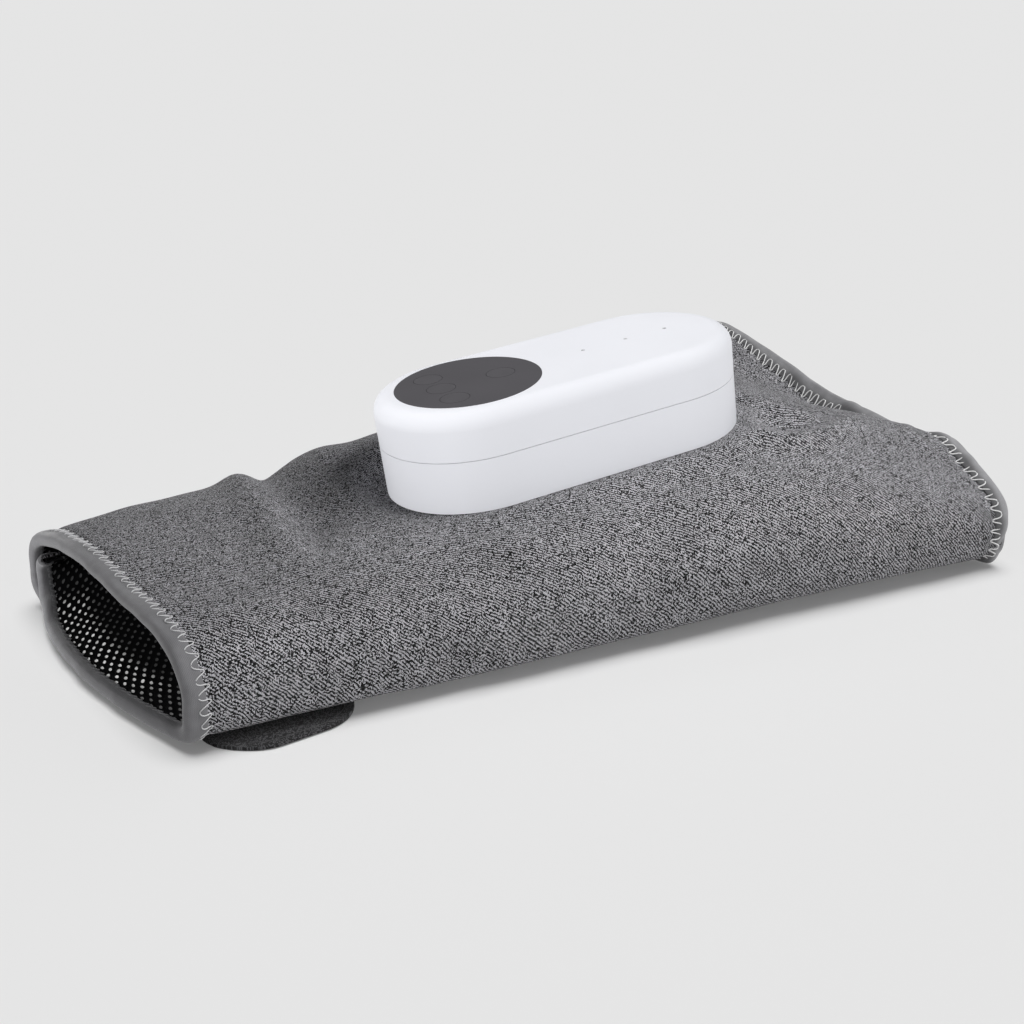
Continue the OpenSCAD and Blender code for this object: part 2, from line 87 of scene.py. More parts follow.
def herm(xs, ys, x):
    """Smooth curve through the points; ys is (n,) or (n, len(x))."""
    ys = np.asarray(ys, float)
    x = np.clip(np.asarray(x, float), xs[0], xs[-1])
    n = len(xs)
    k = np.clip(np.searchsorted(xs, x, side="left") - 1, 0, n - 2)
    m = np.zeros_like(ys)
    m[0] = (ys[1] - ys[0]) / (xs[1] - xs[0])
    m[-1] = (ys[-1] - ys[-2]) / (xs[-1] - xs[-2])
    for i in range(1, n - 1):
        m[i] = (ys[i + 1] - ys[i - 1]) / (xs[i + 1] - xs[i - 1])
    h = xs[k + 1] - xs[k]
    u = (x - xs[k]) / h
    if ys.ndim == 1:
        y0, y1, m0, m1 = ys[k], ys[k + 1], m[k], m[k + 1]
    else:
        j = np.arange(ys.shape[1])
        y0, y1, m0, m1 = ys[k, j], ys[k + 1, j], m[k, j], m[k + 1, j]
    return ((2 * u**3 - 3 * u**2 + 1) * y0 + (u**3 - 2 * u**2 + u) * h * m0
            + (-2 * u**3 + 3 * u**2) * y1 + (u**3 - u**2) * h * m1)


def ease(v):
    u = np.clip(v, 0.0, 1.0)
    return u * u * (3 - 2 * u)


def spow(v, e):
    return np.sign(v) * np.abs(v) ** e


def crown_table():
    """Crest heights on a grid of places along (rows) and across (columns)."""
    w = np.linspace(0, 1, 41)
    ts = list(TS)
    rows = [herm(WS, r, w) for r in HT]
    for e in (18, 10, 5, 0):
        t = 1 - e / LEN
        z = np.asarray(ZE[e], float)
        mid = UNDER + (z[8] - UNDER) * 0.38
        cx = 1 - 2 * WE
        p = np.where(cx > 0, np.interp(t, TP, PN), np.interp(t, TP, PF))
        si = np.sqrt(1 - np.abs(cx) ** p)
        crest = mid + (z - mid) / np.maximum(si ** (2 / 2.4), 0.5)
        crest = np.concatenate([[crest[0] - 1.0], crest, [crest[-1] + 1.0]])
        rows.append(herm(np.concatenate([[0], WE, [1]]), crest, w))
        ts.append(t)
    return np.array(ts), w, np.stack(rows)


TT, WW, CC = crown_table()


def crown(t, w):
    """Smooth height from the table, cubic along the leg and across it."""
    w = np.clip(w, 0, 1)
    x = w * (len(WW) - 1)
    i = np.clip(np.floor(x).astype(int), 0, len(WW) - 2)
    u = x - i
    def at(k):
        return CC[:, np.clip(k, 0, len(WW) - 1)]
    a, b, c, d = at(i - 1), at(i), at(i + 1), at(i + 2)
    rows = b + 0.5 * u * (c - a + u * (2 * a - 5 * b + 4 * c - d + u * (3 * (b - c) + d - a)))
    return herm(TT, rows, t)


def half_width(t):
    n = NA[None] + (NC - NA)[None] * t[:, None]
    f = FA[None] + (FC - FA)[None] * t[:, None]
    g = f - n
    a = np.linalg.norm(g, axis=1) / 2
    return (n + f) / 2, g / (2 * a[:, None]), a


def section(s, f, d):
    """Point of the unbent wrap in its cross section: across c, height z."""
    t = np.clip(s / LEN, 0, 1)
    f = np.asarray(f, float)
    r = np.radians(f)
    co, si = np.cos(r), np.sin(r)
    _, _, a = half_width(t)
    top = si >= 0
    inner = f < 0                       # the layer that lies inside the overlap
    outer = f > 180                     # the layer that folds under it
    p = np.where(top, np.where(co > 0, np.interp(t, TP, PN), np.interp(t, TP, PF)), np.where(outer, 4.0, 8.0))
    cx = spow(co, 2 / p)
    w = 0.5 - 0.5 * cx
    # how far the inner end runs inside the outer layer
    extra = np.where(inner, np.where(top, 1.0, ease((-a * cx - (a - 34)) / 26)), 0.0) * (5.4 + 2.6 * ease((26.0 - s) / 22.0))
    dd = d + extra
    tab = ease((78.0 - s) / 18.0)       # the strap's tab lies under the near edge here
    sag = (1 - tab) * 2.5 * ease((0.18 - w) / 0.13) + tab * 1.3 * ease((0.09 - w) / 0.08)
    base = np.where(outer, 0.25, UNDER - sag)
    crest = crown(t, w)
    mid = UNDER + (crown(t, np.full_like(t, 0.5)) - UNDER) * 0.38
    zt = mid + (crest - dd - mid) * np.abs(si) ** (2 / 2.4)
    zb = mid - (mid - base - d - 0.35 * extra) * np.abs(si) ** np.where(outer, 0.55, 0.42)
    c = -(a - dd) * cx
    return c, np.where(top, zt, zb), w


def off_pod(x, y):
    return np.hypot(np.maximum(np.abs(x) - 37.0, 0), y) - 33.4


def ridge(x, y, pts, width, height, taper=18.0, last=None):
    """A long soft crease along the points, fading at its ends; its height goes from height to last."""
    pts = np.asarray(pts, float)
    best = np.full(x.shape, 1e9)
    along = np.zeros(x.shape)
    run = 0.0
    for i in range(len(pts) - 1):
        a, b = pts[i], pts[i + 1]
        ab = b - a
        L = np.hypot(*ab)
        u = np.clip(((x - a[0]) * ab[0] + (y - a[1]) * ab[1]) / L**2, 0, 1)
        dx, dy = x - a[0] - u * ab[0], y - a[1] - u * ab[1]
        q = np.hypot(dx, dy)
        better = q < best
        best = np.where(better, q, best)
        along = np.where(better, run + u * L, along)
        run += L
    fade = ease((along + 2) / taper) * ease((run - along + 2) / taper)
    tall = height if last is None else height + (last - height) * along / run
    return tall * fade * np.exp(-(best / width) ** 2)


def waves(x, y, seed, size):
    """Smooth unrepeated undulation from a few sine waves, about -1 to 1."""
    rng = np.random.RandomState(seed)
    out = np.zeros(x.shape)
    for _ in range(7):
        a = rng.uniform(0, 2 * math.pi)
        k = 2 * math.pi / (size * rng.uniform(0.7, 1.8))
        out += math.cos(a) * 0 + np.sin(k * (x * math.cos(a) + y * math.sin(a)) + rng.uniform(0, 6.3))
    return out / 3.4


def folds(x, y):
    """Height of the creases and swellings on the sleeve's upper side."""
    h = ridge(x, y, [(-106, 80), (-104.5, 40), (-103.5, 12), (-105.5, -18), (-109, -46)], 6.5, -4.2, 22, -1.6)
    h += ridge(x, y, [(-116, 80), (-114, 40), (-116, 5), (-115, -24), (-112, -50)], 7.5, 3.4, 22, 0.8)
    h += ridge(x, y, [(-99, 84), (-96, 44), (-95, 20), (-98, -8), (-101, -24)], 8.0, -2.4, 20)
    h += ridge(x, y, [(-80, 72), (-80, 50), (-81, 34)], 9.0, 1.5, 14)
    h += ridge(x, y, [(110, 95), (104, 60), (104, 30)], 11.0, -1.2, 30)
    h += ridge(x, y, [(-70, -40), (-40, -47), (0, -50), (40, -48)], 12.0, 0.9, 30)
    h += ridge(x, y, [(-150, 40), (-146, 0), (-140, -40)], 14.0, 0.5, 30)
    return h


def pod_folds(x, y):
    """The folds that run out from under the pod's calf end."""
    h = ridge(x, y, [(75, 12), (79, 1), (82, -7), (87, -14), (93, -21), (100, -28)], 4.6, 3.6, 12)
    h += ridge(x, y, [(58, -29), (68, -35), (80, -38.5), (94, -37), (107, -31), (121, -24)], 5.0, 3.9, 16)
    h += ridge(x, y, [(72, -17), (79, -24), (88, -30)], 4.6, -2.2, 9)
    h += ridge(x, y, [(88, 24), (93, 9), (97, -6), (104, -17), (114, -22)], 6.5, -1.6, 16)
    return h


def edge_shift(s, f):
    """How far the two open ends bow along the leg."""
    t = np.clip(s / LEN, 0, 1)
    r = np.radians(f)
    low = np.where((np.sin(r) < 0) & (f < 0), 1.0, 0.0)
    p = np.where(low > 0, 8.0, 6.0)
    w = 0.5 - 0.5 * spow(np.cos(r), 2 / p)
    bow = np.sin(math.pi * np.clip(w, 0, 1))
    a = -9.0 * low * bow * (1 - ease(s / 60))
    b = 2.0 * low * bow * ease((s - LEN + 50) / 50)
    g = -3.2 * np.exp(-((f - 38.0) / 34.0) ** 2) * ease((s - LEN + 45) / 45)
    return a + b + g


def wrap(s, f, d):
    """Point of the finished sleeve: s mm along from the ankle edge, f degrees round
    (0 near, 90 top, 180 far, negative on the inner layer), d mm under the outer face."""
    s = np.asarray(s, float); f = np.asarray(f, float); d = np.asarray(d, float)
    s, f, d = np.broadcast_arrays(s, f, d)
    shape = s.shape
    s, f, d = s.ravel().astype(float), f.ravel().astype(float), d.ravel().astype(float)
    t = s / LEN
    mid, across, a = half_width(np.clip(t, 0, 1))
    axis = (NC + FC - NA - FA) / 2
    axis = axis / np.linalg.norm(axis)
    over = np.where(s < 0, s, np.where(s > LEN, s - LEN, 0.0)) + edge_shift(s, f)

    d = d * (0.76 + 0.24 * ease(np.minimum(s, LEN - s) / 30.0))
    d = d + np.where((d < 0.9) & (f > -180), 0.55 * np.exp(-((np.minimum(s, LEN - s) - 6.6) / 1.3) ** 2), 0.0)
    def place(dep):
        c, z, w = section(s, f, dep)
        xy = mid + across * c[:, None] + axis[None] * over[:, None]
        return xy, z, w, c
    xy0, z0, w0, c0 = place(np.zeros_like(d))
    xy, z, w, c = place(d)
    # outward direction in the section
    ca, za, _ = section(s, f - 0.3, np.zeros_like(d))
    cb, zb, _ = section(s, f + 0.3, np.zeros_like(d))
    tc, tz = cb - ca, zb - za
    ln = np.maximum(np.hypot(tc, tz), 1e-9)
    nc, nz = -tz / ln, tc / ln
    inner = f < -100
    up = np.sin(np.radians(f)) >= 0
    free = np.where(up & ~inner, 1.0, 0.0)
    off = off_pod(xy0[:, 0], xy0[:, 1])
    clear = ease((off - 2) / 16)
    lift = folds(xy0[:, 0], xy0[:, 1]) * np.clip(nz, 0, 1) * free
    soft = waves(xy0[:, 0], xy0[:, 1] + 1.3 * z0, 5, 62) * 0.75 + waves(xy0[:, 0] + z0, xy0[:, 1], 9, 27) * 0.28
    wall = ease((z0 - 2.0) / 9.0)
    push = (lift + soft * wall * np.where(inner, 0.3, 1.0)) * clear
    xy = xy + across * (nc * push)[:, None]
    z = z + nz * push
    # flat seat under the pod
    sh = (1 - ease((off - 1.0) / 13.0)) * np.where(up & ~inner, 1.0, 0.0)
    sh_in = (1 - ease(off / 14.0)) * np.where(up & ~inner, 1.0, 0.0)
    deep = sh_in * np.interp(d, [1.25, 1.4, 2.7, 2.85], [0.0, 2.62, 2.98, 3.28])
    plane = 50.0 + xy[:, 0] * TILT - (0.25 + d) / COST
    z = z * (1 - sh) + plane * sh - deep
    z = z + pod_folds(xy0[:, 0], xy0[:, 1]) * np.clip(nz, 0, 1) * free * ease((off - 0.5) / 6.0)
    return np.stack([xy[:, 0], xy[:, 1], z], 1).reshape(shape + (3,))


def last_angle(s):
    """Where the outer layer's end meets the flap's hinge line."""
    mid, across, a = half_width(np.array([np.clip(s / LEN, 0, 1)]))
    c = (SEAM - float((mid[0] - HINGE) @ HNOR)) / float(across[0] @ HNOR)
    return 180.0 + math.degrees(math.acos(min(1.0, max(0.0, c / a[0])) ** 2))


def girth_table(s, n=2600):
    """Angles and arc lengths round the wrap at one place along it."""
    # finer steps where the section turns quickly
    f1 = last_angle(s)
    f = np.unique(np.concatenate([np.linspace(F0, f1, n)] + [
        c + k * 14.0 * 10.0 ** -np.linspace(0, 15, 260) for c in (-180.0, -90.0, 0.0, 90.0, 180.0, 270.0) for k in (-1, 1)]))
    f = f[(f >= F0) & (f <= f1)]
    c, z, _ = section(np.full(f.shape, float(s)), f, np.zeros(f.shape))
    arc = np.concatenate([[0], np.cumsum(np.hypot(np.diff(c), np.diff(z)))])
    return f, arc
# GEOMETRY-END

# ----------------------------------------------------------------------
# meshes, from points in millimetres
def grid_faces(n, m, start=0):
    i = np.arange(n - 1)[:, None] * m + np.arange(m - 1)[None, :] + start
    return np.stack([i, i + 1, i + m + 1, i + m], -1).reshape(-1, 4)


def new_mesh(name, co, quads, uv=None, loop_uv=None, caps=(), cap_uv=(), smooth=True):
    """A closed mesh object; its faces are turned outward."""
    co = np.asarray(co, float)
    a, b, c, d = (co[quads[:, k]] for k in range(4))
    vol = (np.cross(a, b) * c).sum() + (np.cross(a, c) * d).sum()
    flip = vol < 0
    faces = quads[:, ::-1] if flip else quads
    lists = faces.tolist() + [list(reversed(x)) if flip else list(x) for x in caps]
    me = bpy.data.meshes.new(name)
    me.from_pydata((co / 1000.0).tolist(), [], lists)
    layer = me.uv_layers.new(name="UVMap")
    if uv is not None:
        idx = np.empty(len(me.loops), np.int32)
        me.loops.foreach_get("vertex_index", idx)
        per = np.asarray(uv, float)[idx]
    else:
        lu = loop_uv[:, ::-1] if flip else loop_uv
        per = lu.reshape(-1, 2)
        for x in cap_uv:
            x = np.asarray(x, float)
            per = np.concatenate([per, x[::-1] if flip else x])
    layer.data.foreach_set("uv", (per / 1000.0).astype(np.float32).ravel())
    me.polygons.foreach_set("use_smooth", np.full(len(me.polygons), smooth))
    me.update()
    ob = bpy.data.objects.new(name, me)
    bpy.context.scene.collection.objects.link(ob)
    return ob


def slab(name, A, B, uv, smooth=True):
    """A sheet with two faces and a rim; A and B are (n, m, 3), uv is (n, m, 2)."""
    n, m = A.shape[:2]
    co = np.concatenate([A.reshape(-1, 3), B.reshape(-1, 3)])
    top = grid_faces(n, m)
    bot = grid_faces(n, m, n * m)[:, ::-1]
    ring = np.concatenate([np.arange(m), np.arange(1, n) * m + m - 1,
                           (n - 1) * m + np.arange(m - 2, -1, -1), np.arange(n - 2, 0, -1) * m])
    nxt = np.roll(ring, -1)
    side = np.stack([nxt, ring, ring + n * m, nxt + n * m], 1)
    flat = uv.reshape(-1, 2)
    return new_mesh(name, co, np.concatenate([top, bot, side]), uv=np.concatenate([flat, flat]), smooth=smooth)


def sweep(name, rings, u, w, closed=False, smooth=True):
    """A tube from rings (n, k, 3); u is the length along it (n) and w that round it (k + 1)."""
    n, k = rings.shape[:2]
    i = np.arange(n if closed else n - 1)[:, None]
    j = np.arange(k)[None, :]
    i2, j2 = (i + 1) % n, (j + 1) % k
    quads = np.stack([i * k + j + 0 * i, i * k + j2, i2 * k + j2, i2 * k + j + 0 * i], -1).reshape(-1, 4)
    ue = np.append(u, u[-1] + (u[1] - u[0])) if closed else u
    ua, ub = ue[:-1][:, None] + 0 * j, ue[1:][:, None] + 0 * j
    wa, wb = w[:-1][None, :] + 0 * i, w[1:][None, :] + 0 * i
    lu = np.stack([np.stack([ua, wa], -1), np.stack([ua, wb], -1), np.stack([ub, wb], -1), np.stack([ub, wa], -1)], 2)
    lu = lu.reshape(-1, 4, 2)
    caps, cuv = [], []
    if not closed:
        caps = [list(range(k - 1, -1, -1)), [(n - 1) * k + x for x in range(k)]]
        cuv = [[(u[0], w[x]) for x in range(k - 1, -1, -1)], [(u[-1], w[x]) for x in range(k)]]
    return new_mesh(name, rings.reshape(-1, 3), quads, loop_uv=lu, caps=caps, cap_uv=cuv, smooth=smooth)


def unit(v):
    return v / np.maximum(np.linalg.norm(v, axis=-1, keepdims=True), 1e-12)


def lengths(P):
    return np.concatenate([[0], np.cumsum(np.linalg.norm(np.diff(P, axis=0), axis=1))])


def cord_rings(P, up, r, sides=6):
    """Rings of a round thread along P, with up as the surface's outward direction."""
    T = unit(np.gradient(P, axis=0))
    B = unit(np.cross(T, up))
    U = np.cross(B, T)
    a = np.arange(sides) * 2 * math.pi / sides
    return P[:, None] + r * (np.cos(a)[None, :, None] * U[:, None] + np.sin(a)[None, :, None] * B[:, None])


def round_corners(du, dv, r):
    """Turns the square corner of a sheet's border distances into a quarter circle."""
    a, b = np.clip(r - du, 0, r), np.clip(r - dv, 0, r)
    both = (a > 0) & (b > 0)
    a2 = a * np.sqrt(np.maximum(1 - b**2 / (2 * r * r), 0))
    b2 = b * np.sqrt(np.maximum(1 - a**2 / (2 * r * r), 0))
    return np.where(both, r - a2, du), np.where(both, r - b2, dv)


# ----------------------------------------------------------------------
# the wrap's layers
LAYER_COVER = (0.0, 1.25)
LAYER_BLADDER = (1.42, 2.68)
LAYER_LINING = (2.85, 4.2)


def angle_grid(S, n, arc_from=0.0, arc_to=None):
    """Angles at even steps of arc round the wrap for each place in S, and the arc from the top's middle."""
    F = np.empty((len(S), n)); V = np.empty((len(S), n))
    for i, s in enumerate(S):
        f, arc = girth_table(float(s))
        lo = arc_from if np.isscalar(arc_from) else arc_from[i]
        hi = arc[-1] if arc_to is None else arc_to[i]
        want = np.linspace(lo, hi, n)
        F[i] = np.interp(want, arc, f)
        V[i] = want - np.interp(90.0, f, arc)
    return F, V


def along_steps(s0, s1, step):
    return np.linspace(s0, s1, int(round((s1 - s0) / step)) + 1)


def layer(name, s0, s1, d0, d1, step, cols):
    near = np.array([0, 1.6, 3.2, 4.3, 5.0, 5.6, 6.2, 6.9, 7.6, 8.5, 9.6])
    S = np.concatenate([s0 + near, along_steps(s0 + 11.0, s1 - 11.0, step), (s1 - near)[::-1]])
    F, V = angle_grid(S, cols)
    SS = S[:, None] + 0 * F
    uv = np.stack([SS, V], -1)
    return slab(name, wrap(SS, F, np.full_like(F, d0)), wrap(SS, F, np.full_like(F, d1)), uv)


cover = layer("sleeve_cover", 0.3, LEN - 0.3, LAYER_COVER[0], LAYER_COVER[1], 1.6, 300)
lining = layer("sleeve_lining", 0.6, LEN - 0.6, LAYER_LINING[1], LAYER_LINING[0], 2.4, 210)


def bladder(name, s0, s1, f0, f1):
    """A flat air bag between cover and lining, thin at its welded rim and fuller inside."""
    S = along_steps(s0, s1, 2.4)
    n = 150
    lo, hi = [], []
    for s in S:
        f, arc = girth_table(float(s))
        lo.append(np.interp(f0, f, arc)); hi.append(np.interp(f1, f, arc))
    F, V = angle_grid(S, n, np.array(lo), np.array(hi))
    SS = S[:, None] + 0 * F
    du = np.minimum(SS - s0, s1 - SS)
    dv = np.minimum(V - V[:, :1], V[:, -1:] - V)
    rim = np.minimum(du, dv)
    full = 0.22 + 0.78 * ease((rim - 5.0) / 12.0)
    # shallow weld dots, in staggered rows
    gu, gv = SS - s0 - 22, V
    for k in (0, 1):
        uu = (gu + 20 * k) % 40 - 20
        vv = (gv + 20 * k) % 40 - 20
        full = full * (1 - 0.7 * np.exp(-((uu**2 + vv**2) / 14.0)) * (rim > 16))
    mid = (LAYER_BLADDER[0] + LAYER_BLADDER[1]) / 2
    half = (LAYER_BLADDER[1] - LAYER_BLADDER[0]) / 2 * full
    uv = np.stack([SS, V], -1)
    return slab(name, wrap(SS, F, mid - half), wrap(SS, F, mid + half), uv)


ankle_bladder = bladder("ankle_bladder", 22.0, 158.0, -172.0, 176.0)
calf_bladder = bladder("calf_bladder", 166.0, 299.0, -172.0, 176.0)


# ----------------------------------------------------------------------
# edge bindings with their zigzag stitching
def puff(v, seed, size):
    return waves(v, 0 * v + 3.1 * seed, seed, size)


def end_binding(name, at_ankle, thick, bump, wide_out=5.6, wide_in=3.7):
    """Tape folded round one end of the wrap, through all its layers."""
    s_edge = 0.0 if at_ankle else LEN
    sgn = 1.0 if at_ankle else -1.0
    n = 330 if at_ankle else 460
    F, V = angle_grid([s_edge], n)
    F, V = F[0], V[0]
    D = LAYER_LINING[1]
    o = 0.5 + 0.28 * puff(V, 3 if at_ankle else 7, 21.0) * bump        # how far the tape stands out
    nose = 0.9 + 0.35 * puff(V, 5 if at_ankle else 11, 15.0) * bump
    rows = []
    prof = []
    for s, d in ((wide_out, -0.02), (wide_out - 0.12, -0.30), (wide_out - 0.7, -0.58), (3.6, -1.0), (2.2, -1.28), (0.9, -1.12)):
        prof.append((s, "o", d))
    for ang in (-68, -42, -16, 12, 40, 66):
        prof.append((ang, "n", 0))
    for s, d in ((0.4, 0.75), (1.1, 0.98), (wide_in - 1.7, 1.0), (wide_in - 0.8, 0.8), (wide_in - 0.15, 0.5), (wide_in, 0.1)):
        prof.append((s, "i", d))
    for s, d in ((wide_in - 0.05, -0.35), (wide_in - 1.2, -0.3), (1.2, -0.2)):
        prof.append((s, "i", d))
    prof.append((0.35, "m", 0.5))
    for s, d in ((1.0, 0.02), (3.0, 0.01), (wide_out - 0.5, 0.01)):
        prof.append((s, "o", d))
    k = len(prof)
    SS = np.empty((n, k)); DD = np.empty((n, k))
    for j, (a, kind, d) in enumerate(prof):
        if kind == "o":
            SS[:, j] = s_edge + sgn * a
            DD[:, j] = d * (o / 0.5 if d < -0.1 else 1.0) * thick
        elif kind == "i":
            SS[:, j] = s_edge + sgn * a
            DD[:, j] = D + d * thick
        elif kind == "n":
            q = math.radians(a)
            SS[:, j] = s_edge + sgn * (0.5 - (0.5 + nose) * math.cos(q))
            DD[:, j] = D / 2 + (D / 2 + 0.75 * thick) * math.sin(q)
        else:
            SS[:, j] = s_edge + sgn * a
            DD[:, j] = D * d
    FF = F[:, None] + 0 * SS
    P = wrap(SS, FF, DD)
    w = lengths(np.concatenate([P[n // 2], P[n // 2][:1]]))
    return sweep(name, P, V, w), F, V, o


def zigzag(name, at_ankle, centre, half, pitch, r, inside=False, tape=5.6, thick=1.0):
    """One thread that runs back and forth over the binding's border."""
    s_edge = 0.0 if at_ankle else LEN
    sgn = 1.0 if at_ankle else -1.0
    ft, at = girth_table(s_edge)
    total = at[-1]
    count = int(total / pitch)
    per = 14
    a = np.linspace(1.5, total - 1.5, count * per + 1)
    ph = (a - a[0]) / pitch * 2 * math.pi
    wob = 1 + 0.10 * np.sin(a * 0.37) + 0.07 * np.sin(a * 0.91 + 1.0)
    # a wave with rounded turns that leans a little
    s = centre + half * wob * np.sin(ph)
    a2 = a - 0.028 * pitch * np.sin(2 * ph) + 0.09 * pitch * np.sin(ph + 0.8) + 0.12 * np.sin(a * 0.53)
    F = np.interp(a2, at, ft)
    over = ease((tape - s + 0.25) / 0.5)                # 1 on the tape, 0 on the cloth
    lift = (0.06 + 0.30 * thick * over * ease((tape + 0.6 - s) / 1.6) + 0.28 * thick * ease((tape - 0.4 - s) / 1.6)) + r * 0.8
    dip = 0.35 * np.exp(-((np.abs(np.sin(ph)) - 1) / 0.03) ** 2)
    D = LAYER_LINING[1]
    lift = (lift - dip) / 0.78
    dep = D + lift if inside else -lift
    P = wrap(s_edge + sgn * s, F, dep)
    Q = wrap(s_edge + sgn * s, F, dep + (0.4 if inside else -0.4))
    rings = cord_rings(P, unit(Q - P), r)
    w = np.arange(7) * (2 * math.pi * r / 6)
    return sweep(name, rings, lengths(P), w)


ankle_tape, _, _, _ = end_binding("ankle_edge_binding", True, 0.8, 0.8)
calf_tape, _, _, _ = end_binding("calf_edge_binding", False, 1.15, 1.6)
ankle_zig = zigzag("ankle_edge_stitching", True, 5.0, 2.0, 4.6, 0.18, thick=0.8)
ankle_zig_in = zigzag("ankle_inner_stitching", True, 3.1, 0.9, 3.6, 0.16, inside=True, tape=3.6, thick=0.8)
calf_zig = zigzag("calf_edge_stitching", False, 5.2, 1.85, 4.6, 0.26, thick=1.15)
calf_zig_in = zigzag("calf_inner_stitching", False, 3.1, 0.9, 3.6, 0.16, inside=True, tape=3.6, thick=1.15)


# ----------------------------------------------------------------------
# the flap, its straps and their pads, in the hinge line's own frame: u along it, v towards the near side
def on_flap(u, v, z):
    xy = HINGE + np.asarray(u, float)[..., None] * HDIR - np.asarray(v, float)[..., None] * HNOR
    return np.concatenate([xy, np.asarray(z, float)[..., None] * np.ones(xy.shape[:-1] + (1,))], -1)


def flap_uv_of(P):
    q = P[..., :2] - HINGE
    return q @ HDIR, -(q @ HNOR)


FL_NU, FL_NV = 170, 66
S_fl = along_steps(0.3, LEN - 0.3, LEN / FL_NU)
start_f = np.array([last_angle(s) for s in S_fl])
seam_out = wrap(S_fl, start_f, np.zeros_like(S_fl))                  # the cover's lower face there
seam_in = wrap(S_fl, start_f, np.full_like(S_fl, LAYER_COVER[1]))
seam_u, _ = flap_uv_of(seam_out)
CORNER = 9.0


def flap_edge_u(v, side):
    if side == 0:
        return seam_u[0] + (13.0 - seam_u[0]) * ease((v + SEAM) / 34.0)
    return seam_u[-1] + (311.0 - seam_u[-1]) * ease((v + SEAM) / 34.0)


def flap_point(q, p):
    """Plan position on the flap for q (0 ankle to 1 calf) and p (0 at the seam to 1 at the near edge)."""
    v_end = 72.5 + 40.0 * (q * 298.0) / 300.0
    v = -SEAM + p * (v_end + SEAM)
    ua, ub = flap_edge_u(v, 0), flap_edge_u(v, 1)
    wide = ub - ua
    du = np.minimum(q, 1 - q) * wide
    dv = v_end - v
    du2, dv2 = round_corners(du, dv, CORNER)
    u = np.where(q < 0.5, ua + du2, ub - du2)
    return u, v_end - dv2


Q = np.linspace(0, 1, len(S_fl))[:, None]
# even steps along the seam give the rows, and even steps across the flap give the columns
P_ = np.linspace(0, 1, FL_NV)[None, :]
uu, vv = flap_point(Q + 0 * P_, P_ + 0 * Q)
# the rows start exactly at the cover's end
shift = (seam_u[:, None] - uu[:, :1]) * (1 - ease(P_ * 1.6))
uu = uu + shift
ripple = 0.05 * waves(uu, vv, 21, 34.0)
near = ease((vv + SEAM) / 12.0)
z_lo = seam_out[:, None, 2] * (1 - near) + (0.22 + ripple) * near
z_hi = seam_in[:, None, 2] * (1 - near) + (1.22 + ripple) * near
first = on_flap(uu, vv, z_lo)
second = on_flap(uu, vv, z_hi)
# the flap's weave goes on from the cover's
ft_mid, at_mid = girth_table(LEN / 2)
v_from = np.empty(len(S_fl))
for i, s in enumerate(S_fl):
    f_, a_ = girth_table(float(s))
    v_from[i] = a_[-1] - np.interp(90.0, f_, a_)
flap_uvs = np.stack([S_fl[:, None] + 0 * vv + (uu - seam_u[:, None]), v_from[:, None] + vv + SEAM], -1)
flap_cloth = slab("flap_cloth", first, second, flap_uvs)


def flap_border(n=520):
    """The flap's free border from the seam at the ankle round to the seam at the calf, with its inward direction."""
    m = n // 4
    a = np.stack([np.zeros(m), np.linspace(0, 1, m)], 1)
    b = np.stack([np.linspace(0, 1, n)[1:-1], np.ones(n - 2)], 1)
    c = np.stack([np.ones(m), np.linspace(1, 0, m)], 1)
    qp = np.concatenate([a, b, c])
    u, v = flap_point(qp[:, 0], qp[:, 1])
    pts = np.stack([u, v], 1)
    L = lengths(np.c_[pts, 0 * u])
    keep = np.concatenate([[True], np.diff(L) > 1e-3])
    pts, L = pts[keep], L[keep]
    even = np.linspace(0, L[-1], int(L[-1] / 1.6))
    pts = np.stack([np.interp(even, L, pts[:, 0]), np.interp(even, L, pts[:, 1])], 1)
    t = unit(np.gradient(pts, axis=0))
    inward = np.stack([t[:, 1], -t[:, 0]], 1)
    return pts, inward, even


def z_at(pts, which):
    """Height of the flap's lower or upper face at plan points near its border."""
    k = ease((pts[:, 1] + SEAM) / 12.0)
    lo = np.where(pts[:, 0] < 150, seam_out[0, 2], seam_out[-1, 2])
    hi = np.where(pts[:, 0] < 150, seam_in[0, 2], seam_in[-1, 2])
    return (lo * (1 - k) + 0.22 * k) if which == 0 else (hi * (1 - k) + 1.22 * k)


def flap_tape(name):
    pts, inward, run = flap_border()
    lo, hi = z_at(pts, 0), z_at(pts, 1)
    prof = [(6.0, 0, -0.0), (5.8, 0, -0.10), (3.0, 0, -0.14), (0.3, 0, -0.12), (-0.45, 0, 0.25), (-0.6, 2, 0.5), (-0.45, 1, -0.25),
            (0.3, 1, 0.24), (3.0, 1, 0.27), (5.8, 1, 0.2), (6.0, 1, 0.0), (5.5, 1, -0.04), (0.8, 1, -0.05), (0.8, 0, 0.05), (5.5, 0, 0.04)]
    rings = np.empty((len(pts), len(prof), 3))
    wav = 0.03 * waves(run, 0 * run, 33, 18.0)
    for j, (d, kind, dz) in enumerate(prof):
        xy = pts + inward * d
        z = lo + dz if kind == 0 else hi + dz if kind == 1 else (lo + hi) / 2
        z = np.maximum(z + (wav if kind == 1 else 0), 0.06)
        rings[:, j] = on_flap(xy[:, 0], xy[:, 1], z)
    w = lengths(np.concatenate([rings[40], rings[40][:1]]))
    return sweep(name, rings, run, w)


